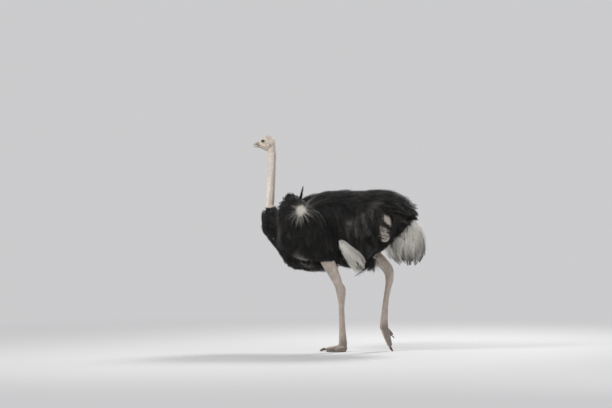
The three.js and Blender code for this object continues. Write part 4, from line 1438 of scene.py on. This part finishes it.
for number, (side, outward) in enumerate(SIDES.items()):
    surface = wing_surfaces[side]
    owned = {"replaced": ["wing_" + side]}
    roots, ups = surface.scatter(spacing=0.0187, seed=70 + number)
    shown = (ups[:, 1] * outward > -0.20) | (roots[:, 2] < 0.98) | (roots[:, 2] > 1.33)
    roots, ups = roots[shown], ups[shown]
    dice = np.random.default_rng(72 + number)
    gap = from_star(roots)
    lock = locks_of(roots, plumes=7, seed=74 + number)
    swelling = dice.random(len(roots))[lock]
    crest = ramp(1.36, 1.46, roots[:, 2]) * (1.0 - ramp(-0.47, -0.40, roots[:, 0]))
    length = (0.095 + 0.060 * ramp(0.05, 0.20, gap) - 0.055 * crest) * dice.uniform(0.75, 1.25, len(roots))
    room = (roots[:, 2] - WING_HEM + 0.030 * swelling) * 1.1
    length = np.where(roots[:, 2] < 1.10, np.minimum(length, np.maximum(room, 0.035)), length)
    rise = 0.002 + 0.014 * swelling**2 * ramp(0.04, 0.10, gap) + 0.016 * crest * swelling
    cling = np.where(roots[:, 2] < 1.03, 0.70, 0.92) - 0.22 * crest
    path, lifts = lead(surface, roots, ups, wing_flow, length, depth=0.026, rise=rise, cling=cling)
    path = gathered(path, lock, 0.45 + 0.25 * crest)
    root_colour, tip_colour = black_tones(roots, lock, dice)
    root_colour, tip_colour = streaked(path[:, 1], root_colour), streaked(path[:, 3], tip_colour)
    patch = unwrapped(roots, 2)
    for half, name in enumerate(("front", "rear")):
        mine = ((roots[:, 0] < WING_MIDDLE) == (half == 0)) & (gap > STAR_BALD)
        plume_piece(
            f"wing_{name}_{side}", path[mine], lifts[mine], patch[mine], root_colour[mine], tip_colour[mine],
            WING_CUT, 76 + 2 * number + half, **owned, **BLACK,
        )

    # Loose tufts round the wing's top and front edge.
    centres, ups = surface.scatter(
        spacing=0.040, seed=62 + number, wanted=lambda at: (at[:, 2] > 1.33) & (at[:, 0] < -0.41)
    )
    dice = np.random.default_rng(63 + number)
    roots, ups, lock, stand = tufts_round(surface, centres, 0.009, dice)
    length = (0.060 + 0.045 * stand) * dice.uniform(0.8, 1.1, len(roots))
    rise = 0.012 + 0.034 * stand
    path, lifts = lead(surface, roots, ups, wing_flow, length, depth=0.015, rise=rise, cling=0.50)
    path = gathered(path, lock, 0.80)
    black_piece(
        "wing_crest_" + side, path, lifts, roots, 2, lock, dice, TUFT_CUT, 66 + number,
        replaced="wing_" + side,
    )

    # The star: tousled pale tufts, and long pale quills laid over the dark plumes.
    roots, ups = surface.scatter(
        spacing=0.0056, seed=80 + number, wanted=lambda at: from_star(at) < STAR_REACH
    )
    shown = ups[:, 1] * outward > 0.2
    roots, ups = roots[shown], ups[shown]
    dice = np.random.default_rng(81 + number)
    length = dice.uniform(0.016, 0.034, len(roots))
    path, lifts = lead(surface, roots, ups, tousled, length, depth=0.002, rise=0.014, cling=0.75)
    tone = dice.uniform(0.75, 1.08, len(roots)) * (1.0 - 0.3 * ramp(0.02, 0.04, from_star(roots)))
    pale = STAR_PALE * tone[:, None]
    plume_piece(
        "star_" + side, path, lifts, unwrapped(roots, 2), pale, pale, STAR_CUT, 82 + number, **owned, **PALE
    )
    roots, ups = surface.scatter(
        spacing=0.0090, seed=84 + number, wanted=lambda at: from_star(at) < STAR_REACH * 1.2
    )
    shown = (ups[:, 1] * outward > 0.2) & (from_star(roots) > 0.008)
    roots, ups = roots[shown], ups[shown]
    downward = ramp(-0.01, 0.02, STAR[1] - roots[:, 2])
    length = dice.uniform(0.025, 0.075, len(roots)) * (1.0 + 1.1 * downward)
    path, lifts = lead(surface, roots, ups, raying, length, depth=-0.006, rise=0.015, cling=0.9)
    pale = STAR_QUILL * dice.uniform(0.4, 1.1, (len(roots), 1))
    plume_piece(
        "star_quills_" + side, path, lifts, unwrapped(roots, 2), pale, pale * 0.25, QUILL_CUT, 86 + number,
        **owned, **PALE,
    )

# ---------------------------------------------------------------- loose feathers
# Single feathers that lie or stand apart from the coat: one raised at the left shoulder, long
# ones swept back from the star, the dark lock between the bare patches, and the belly's tags.
LONG_CUT = {
    "barbs": 42, "joints": 2, "reach": 0.09, "width": 0.0011, "shaft": 0.005,
    "splay": (0.70, 0.20), "bend": 0.50, "droop": 0.05, "loft": 0.25,
}


def curved(start, bend, end, steps=8):
    """A shaft that bends once."""
    t = np.linspace(0.0, 1.0, steps + 1)[:, None]
    start, bend, end = [np.array(point) for point in (start, bend, end)]
    return start * (1 - t) ** 2 + bend * 2 * t * (1 - t) + end * t**2


def laid_piece(name, shafts, ups, axis, colour, tip_colour, cut, seed, **piece):
    """A piece of plumes laid one by one, their broad sides facing ups."""
    ups = np.broadcast_to(ups, shafts.shape)
    colours = [np.broadcast_to(shade, (len(shafts), 3)) for shade in (colour, tip_colour)]
    plume_piece(name, shafts, ups, unwrapped(shafts[:, 0], axis), *colours, cut, seed, **piece)


def laid_on_side(outward, start, bend, end, rise):
    """A shaft over the wing and trunk that follows a curve of the side view."""
    flat = curved(start, bend, end)
    out = np.full(len(flat), 0.12)
    for knot, (x, z) in enumerate(flat):
        for surface in (trunk_surface, *wing_surfaces.values()):
            place = surface.tree.ray_cast(Vector((x, outward, z)), Vector((0.0, -outward, 0.0)))[0]
            if place is not None:
                out[knot] = max(out[knot], place.y * outward)
    for _ in range(6):
        eased = out.copy()
        eased[1:-1] = (out[:-2] + 2 * out[1:-1] + out[2:]) / 4
        out = np.maximum(eased, out - 0.004)
    path = np.stack((flat[:, 0], outward * (out + rise), flat[:, 1]), axis=1)
    return path, np.tile((0.0, outward, 0.0), (len(path), 1))


SIDE_LOCKS = (
    # start, bend and end in the side view, how far it stands off, and its paleness
    ((-0.345, 1.395), (-0.300, 1.490), (-0.190, 1.545), 0.007, 0.70),
    ((-0.340, 1.400), (-0.290, 1.510), (-0.150, 1.556), 0.007, 0.20),
    ((-0.330, 1.400), (-0.230, 1.500), (-0.050, 1.530), 0.007, 0.05),
    ((-0.335, 1.392), (-0.250, 1.460), (-0.090, 1.500), 0.007, 0.35),
    ((-0.320, 1.390), (-0.200, 1.460), (-0.020, 1.480), 0.007, 0.10),
    ((-0.325, 1.385), (-0.170, 1.410), (-0.135, 1.245), 0.007, 0.42),
    ((-0.330, 1.375), (-0.200, 1.390), (-0.160, 1.220), 0.007, 0.15),
)
PATCH_LOCKS = (
    # start, bend and end in the side view, the step from each plume to the next, how many
    ((0.384, 1.290), (0.444, 1.246), (0.524, 1.186), (0.0010, -0.0018), 13),
    ((0.536, 1.345), (0.514, 1.220), (0.464, 1.058), (0.0038, 0.0), 13),
    ((0.424, 1.390), (0.420, 1.300), (0.436, 1.218), (-0.0036, 0.0), 8),
)
BAND_CUT = {**LONG_CUT, "reach": 0.085, "width": 0.0030, "barbs": 30, "splay": (0.45, 0.15), "loft": 0.12}
BAND_RISE = 0.016
dice = np.random.default_rng(110)
band = []
for *line, step, count in PATCH_LOCKS:
    for number in range(count):
        shift = number * np.array(step) + 0.003 * dice.normal(0.0, 1.0, 2)
        band.append([*[np.array(point) + shift for point in line], BAND_RISE, 0.0])
for name, lines, cut in (("shoulder_plumes", SIDE_LOCKS, LONG_CUT), ("flank_band", band, BAND_CUT)):
    laid = [laid_on_side(outward, *line[:4]) for outward in SIDES.values() for line in lines]
    shafts, ups = [np.array(part) for part in zip(*laid)]
    paleness = np.tile([line[4] for line in lines], 2)
    tones = [mixed(COAT_TIP, COAT_GREY, share * paleness) for share in (1.0, 0.8)]
    laid_piece(name, shafts, ups, 0, *tones, cut, 111, replaced=["trunk"], **BLACK)

OUT_LEFT = np.array((0.0, -1.0, 0.0))
low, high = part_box("raised_feather")
middle = (low[1] + high[1]) / 2
foot = np.array((low[0] + 0.003, middle, low[2] - 0.045))
crown = np.array((high[0], middle - 0.002, high[2]))
dice = np.random.default_rng(112)
raised = []
for share, lean in ((1.0, 0.0), (0.97, 0.004), (0.80, 0.006), (0.62, -0.008)):
    top = foot + (crown - foot) * share + np.array((lean, lean, 0.0))
    raised.append(curved(foot, (foot + top) / 2 + np.array((-0.004, 0.0, 0.01)), top))
raised = np.array(raised)
roots = raised[:, 0] + dice.normal(0, 0.002, (len(raised), 3))
dark = np.tile(COAT_BLACK, (len(raised), 1))
plume_piece(
    "raised_plume", raised, np.broadcast_to(OUT_LEFT, raised.shape), unwrapped(roots, 2), dark, dark,
    {**LONG_CUT, "reach": 0.17, "barbs": 44, "width": 0.0020}, 113, replaced=["raised_feather"], **BLACK,
)


def thrown(centre, spread, dice):
    """A place near a centre, with its own spread each way; a spread of 0 draws nothing."""
    pairs = zip(centre, spread)
    return np.array([middle + reach * dice.normal() if reach else middle for middle, reach in pairs])


TAGS = 130
tags = []
for number in range(TAGS):
    root = thrown((0.300, -0.05, 0.902), (0.032, 0.10, 0.012), dice)
    fall = np.array((0.0, 0.0, 0.075 + 0.035 * dice.random()))
    swing = thrown((-0.020, 0.0, 0.0), (0.022, 0.015, 0.0), dice)
    tags.append(curved(root, root - fall * 0.5, root - fall + swing))
LOW_LOCK = 10
low_lock = []
for number in range(LOW_LOCK):
    root = thrown((0.290, -0.090, 0.858), (0.008, 0.012, 0.006), dice)
    end = thrown((0.165, -0.105, 0.748), (0.014, 0.0, 0.006), dice)
    low_lock.append(curved(root, (root + end) / 2 + np.array((0.012, 0.0, -0.012)), end))
for name, shafts, reach, seed in (("belly_tags", tags, 0.24, 114), ("belly_lock", low_lock, 0.11, 115)):
    cut = {**LONG_CUT, "reach": reach, "barbs": 14}
    laid_piece(
        name, np.array(shafts), OUT_LEFT, 0, COAT_BLACK, COAT_BLACK, cut, seed, replaced=["trunk"], **BLACK
    )

# ---------------------------------------------------------------- white quill plumes
# The wing's long white plumes hang out behind and below it as a soft, frayed, flattened bunch.
WHITE_CUT = {
    "barbs": 18, "joints": 3, "reach": 0.17, "width": 0.0016, "shaft": 0.006,
    "splay": (0.95, 0.25), "bend": 0.40, "droop": 0.40, "loft": 0.12,
}
# z along the bunch's front edge and x there; x along its hem and the lowest z there
QUILL_EDGE = ((0.793, 0.855, 0.896, 0.957, 1.080), (0.155, 0.119, 0.068, 0.017, 0.0))
QUILL_HEM = ((0.120, 0.155, 0.211, 0.252, 0.270), (0.700, 0.772, 0.795, 0.835, 0.900))
WHITE = srgb(243, 239, 231)
WHITE_TIP = srgb(232, 227, 217)


def quill_flow(places):
    """Back and down, fanning out from the middle of the bunch."""
    spread = places[:, 0] + 0.86 * (places[:, 2] - 1.12) + 0.02
    splay = spread[:, None] * np.array((1.6, 0.0, 0.6))
    return np.array((0.62, 0.0, -0.78)) + splay + 0.16 * wanderings(places, 0.07, 91)


for number, side in enumerate(SIDES):
    surface = Surface(cast(copy_of("quills_" + side), voxel=0.008, smooth_steps=3))
    roots, ups = surface.scatter(spacing=0.0204, seed=94 + number)
    dice = np.random.default_rng(96 + number)
    count = len(roots)
    lock = locks_of(roots, plumes=5, seed=92 + number)
    swelling = dice.random(count)[lock]
    length = dice.uniform(0.10, 0.23, count) * (0.70 + 0.6 * swelling)
    length = length * (0.80 + 0.40 * (roots[:, 2] > 0.95))
    rise = 0.002 + 0.018 * swelling
    path, lifts = lead(surface, roots, ups, quill_flow, length, depth=0.010, rise=rise, cling=0.70)
    path = gathered(path, lock, 0.72)
    # Each lock's tone is partly random, and locks that stand out less are painted darker, as painted shade
    # between the locks.
    tone = (dice.uniform(0.70, 1.08, count) * (0.48 + 0.66 * swelling))[:, None]
    inside = path[:, -1, 2] > np.interp(path[:, -1, 0], *QUILL_HEM) - 0.005
    for places in (path[:, 0], path[:, 2], path[:, 4]):
        inside &= places[:, 0] > np.interp(places[:, 2], *QUILL_EDGE) - 0.008
    path, lifts, roots, tone = path[inside], lifts[inside], roots[inside], tone[inside]
    plume_piece(
        "quill_plumes_" + side, path, lifts, unwrapped(roots, 2), WHITE * tone, 0.8 * WHITE_TIP * tone,
        WHITE_CUT, 98 + number, replaced=["quills_" + side], **PALE,
    )

# ---------------------------------------------------------------- tail
# A bushy tail of long drooping white plumes that springs from under the rump and hangs in a bell.
TAIL_CUT = {
    "barbs": 16, "joints": 3, "reach": 0.11, "width": 0.0018, "shaft": 0.006,
    "splay": (0.75, 0.20), "bend": 0.50, "droop": 0.40, "loft": 0.14,
}
TAIL_HEM = 0.885
TAIL_WHITE = srgb(243, 239, 230)
TAIL_TIP = srgb(206, 199, 189)


def tail_flow(places):
    """Back and out at the top, and straight down at the hem."""
    drop = ramp(1.02, 1.32, places[:, 2])[:, None]
    outwards = (places - np.array((0.60, 0.0, 1.05))) * np.array((1.0, 1.0, 0.0))
    return outwards * 3.2 * drop + np.array((0.10, 0.0, -1.0)) + 0.12 * wanderings(places, 0.07, 101)


surface = Surface(cast(copy_of("tail"), voxel=0.011, smooth_steps=4))
roots, ups = surface.scatter(spacing=0.0216, seed=104)
dice = np.random.default_rng(105)
shown = (roots[:, 2] > 0.95) & ~((roots[:, 0] < 0.55) & (roots[:, 2] > 1.16))
roots, ups = roots[shown], ups[shown]
count = len(roots)
lock = locks_of(roots, plumes=9, seed=106)
swelling = dice.random(count)[lock]
length = dice.uniform(0.14, 0.27, count) * (0.75 + 0.40 * ramp(1.0, 1.2, roots[:, 2]))
length = np.minimum(length * (0.8 + 0.4 * swelling), (roots[:, 2] - TAIL_HEM + 0.06 * swelling) * 1.15)
cling = np.where(roots[:, 2] < 1.08, 0.45, 0.80)
path, lifts = lead(
    surface, roots, ups, tail_flow, length, depth=0.018, rise=0.002 + 0.034 * swelling**2, cling=cling
)
path = gathered(path, lock, 0.74)
tone = dice.uniform(0.75, 1.05, count) * np.exp(0.25 * dice.normal(0.0, 1.0, count)[lock])
# Locks that stand out less are painted darker, as painted shade between the locks.
tone = (tone * (0.66 + 0.56 * ramp(0.0, 0.5, swelling)))[:, None]
# The white plumes are painted darker towards the tail's hem, as painted shade low in the hanging bell.
root_tone = np.clip(tone * (0.22 + 0.90 * ramp(1.00, 1.22, roots[:, 2]))[:, None], 0.10, 1.08)
tip_tone = np.clip(tone * (0.18 + 0.94 * ramp(0.95, 1.20, path[:, -1, 2]))[:, None], 0.08, 1.08)
plume_piece(
    "tail_plumes", path, lifts, unwrapped(roots, 2), TAIL_WHITE * root_tone, TAIL_TIP * tip_tone, TAIL_CUT,
    107, replaced=["tail"], **PALE,
)

UNDER_TAIL_PLUMES = 15
under_tail, ups = [], []
for outward in SIDES.values():
    mirror = np.array((1.0, outward, 1.0))
    for number in range(UNDER_TAIL_PLUMES):
        root = mirror * thrown((0.435, 0.075, 1.035), (0.014, 0.022, 0.0), dice)
        sweep = mirror * thrown((0.125, 0.02, -0.125), (0.035, 0.0, 0.02), dice)
        under_tail.append(curved(root, root + sweep * np.array((0.62, 0.5, 0.30)), root + sweep))
        ups.append([(0.0, outward, 0.0)])
tone = dice.uniform(0.7, 1.0, (len(under_tail), 1))
laid_piece(
    "under_tail_plumes", np.array(under_tail), np.array(ups), 2, WHITE * tone, WHITE_TIP * tone,
    {**WHITE_CUT, "joints": 2}, 108, replaced=["tail"], **PALE,
)

# ---------------------------------------------------------------- down, lashes and bristles
# Sparse, whitish, hair-like down over the neck and head, a ragged tuft on the crown, bristles
# round the ears, and long black lashes on the upper lids.
DOWN_CUT = {
    "barbs": 2, "joints": 1, "reach": 0.65, "width": 0.0007, "shaft": 0.015,
    "splay": (0.55, 0.25), "bend": 0.3, "droop": 0.0, "loft": 0.35,
}
HAIR_CUT = {
    "barbs": 0, "joints": 1, "reach": 0.1, "width": 0.0006, "shaft": 0.030,
    "splay": (0.4, 0.2), "bend": 0.3, "droop": 0.0, "loft": 0.1,
}
DOWN = {"paint": plume_paint("neck_down_hair", 0.75, 0.35), "slot": "neck_down"}
DOWN_PALE = srgb(204, 194, 183)
DOWN_TIP = srgb(230, 223, 213)
LASH_BLACK = srgb(16, 13, 12)


def down_flow(places):
    """Down the neck, and back and down over the head."""
    head = ramp(1.94, 2.02, places[:, 2])[:, None]
    lie = np.array((0.25, 0.0, -1.0)) * (1.0 - head) + np.array((1.0, 0.0, -0.30)) * head
    return lie + 0.45 * wanderings(places, 0.03, 121)


def grows_down(places):
    """Where the down grows: on neck and head, but not on the eyes, the lids or the bill's edge."""
    clear = (places - np.array(FACE_EDGE)) @ np.array(FACE_EDGE_LEAN) > 0.003
    clear &= (places[:, 0] < -0.625) & (np.abs(places[:, 1]) < 0.062)
    for centre, *_ in lid_frames.values():
        clear &= np.linalg.norm(places - centre, axis=1) > EYE_RADIUS + 0.0085
    return clear


bare_skin = bmesh.new()
bare_skin.from_mesh(skin.data)
bare_front = Surface(keep(bare_skin, COLLAR_LEVEL - 0.004, True))
for name, low, high, spacing, size in (
    ("neck", 1.30, 1.93, 0.0056, 0.0085),
    ("head", 1.93, 2.20, 0.0046, 0.0055),
):
    roots, ups = bare_front.scatter(
        spacing, seed=122, wanted=lambda at: (at[:, 2] > low) & (at[:, 2] <= high) & grows_down(at)
    )
    dice = np.random.default_rng(123)
    length = size * dice.uniform(0.6, 1.4, len(roots))
    rise = length * dice.uniform(0.15, 0.55, len(roots))
    path, lifts = lead(
        bare_front, roots, ups, down_flow, length, depth=0.0006, rise=rise, cling=0.8, steps=1
    )
    tone = dice.uniform(0.75, 1.05, (len(roots), 1))
    plume_piece(
        "down_" + name, path, lifts, unwrapped(roots, 2), DOWN_PALE * tone, DOWN_TIP * tone, DOWN_CUT, 124,
        replaced=[name], **DOWN,
    )

CROWN_HAIRS = 150
EAR_HAIRS = 46
EAR_RING = 0.0085
UPWARDS = np.array((0.0, 0.0, 1.0))
tufts = []
dice = np.random.default_rng(125)
for number in range(CROWN_HAIRS):
    turn = dice.uniform(-1.0, 1.0)
    start = Vector((-0.668 + 0.030 * dice.normal(), 0.018 * turn, 2.3))
    place = bare_front.tree.ray_cast(start, Vector((0.0, 0.0, -1.0)))[0]
    if place is None or place.z < 2.05:
        continue
    root = np.array(place) - np.array((0.0, 0.0, 0.001))
    size = dice.uniform(0.007, 0.014)
    lean = np.array((0.9 + 0.3 * dice.normal(), 0.5 * turn, 0.75 + 0.2 * dice.normal())) * size
    tufts.append(curved(root, root + lean * np.array((0.3, 0.5, 0.7)), root + lean, 3))
for outward in SIDES.values():
    for number in range(EAR_HAIRS):
        turn = dice.uniform(0.0, 6.28)
        x, z = EAR[0] + EAR_RING * math.cos(turn), EAR[1] + EAR_RING * math.sin(turn)
        start = Vector((x, outward * 0.2, z))
        place = bare_front.tree.ray_cast(start, Vector((0.0, -outward, 0.0)))[0]
        if place is None:
            continue
        root = np.array(place) - np.array((0.0, outward * 0.001, 0.0))
        lean = np.array((0.8, outward * 0.45, -0.15 + 0.3 * dice.normal())) * dice.uniform(0.006, 0.012)
        tufts.append(curved(root, root + lean * np.array((0.3, 0.8, 0.5)), root + lean, 3))
tone = dice.uniform(0.6, 1.0, (len(tufts), 1))
laid_piece(
    "crown_and_ear_tufts", np.array(tufts), UPWARDS, 2, DOWN_PALE * tone, DOWN_TIP * tone, HAIR_CUT, 126,
    replaced=["head"], **DOWN,
)

LASHES = 30
lashes = []
for centre, gaze, behind, above in lid_frames.values():
    for number in range(LASHES):
        along_lid = LID_HALF_LENGTH * (-0.93 + 1.86 * number / (LASHES - 1))
        arch = LID_HALF_HEIGHT * (1.0 - (along_lid / LID_HALF_LENGTH) ** 2) ** 0.72 + 0.0008
        turn, lift = along_lid / EYE_RADIUS, arch / EYE_RADIUS
        spoke = unit(gaze + behind * math.tan(turn) + above * math.tan(lift))
        root = centre + spoke * (EYE_RADIUS + 0.0012)
        size = 0.0070 + 0.0030 * math.cos(turn) + 0.001 * dice.normal()
        lean = unit(spoke * 0.80 - above * 0.15 + behind * (0.55 * turn - 0.10) + 0.05 * dice.normal(size=3))
        tip = root + lean * size + above * size * 0.30
        lashes.append(curved(root, root + lean * size * 0.60, tip, 4))
laid_piece(
    "lashes", np.array(lashes), UPWARDS, 0, LASH_BLACK, LASH_BLACK, HAIR_CUT, 127, replaced=["head"],
    paint=BLACK["paint"], slot="neck_down",
)

size = {"cad": [list(map(float, corner)) for corner in cad_box]}
size["visual"] = [list(map(float, corner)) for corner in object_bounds()]
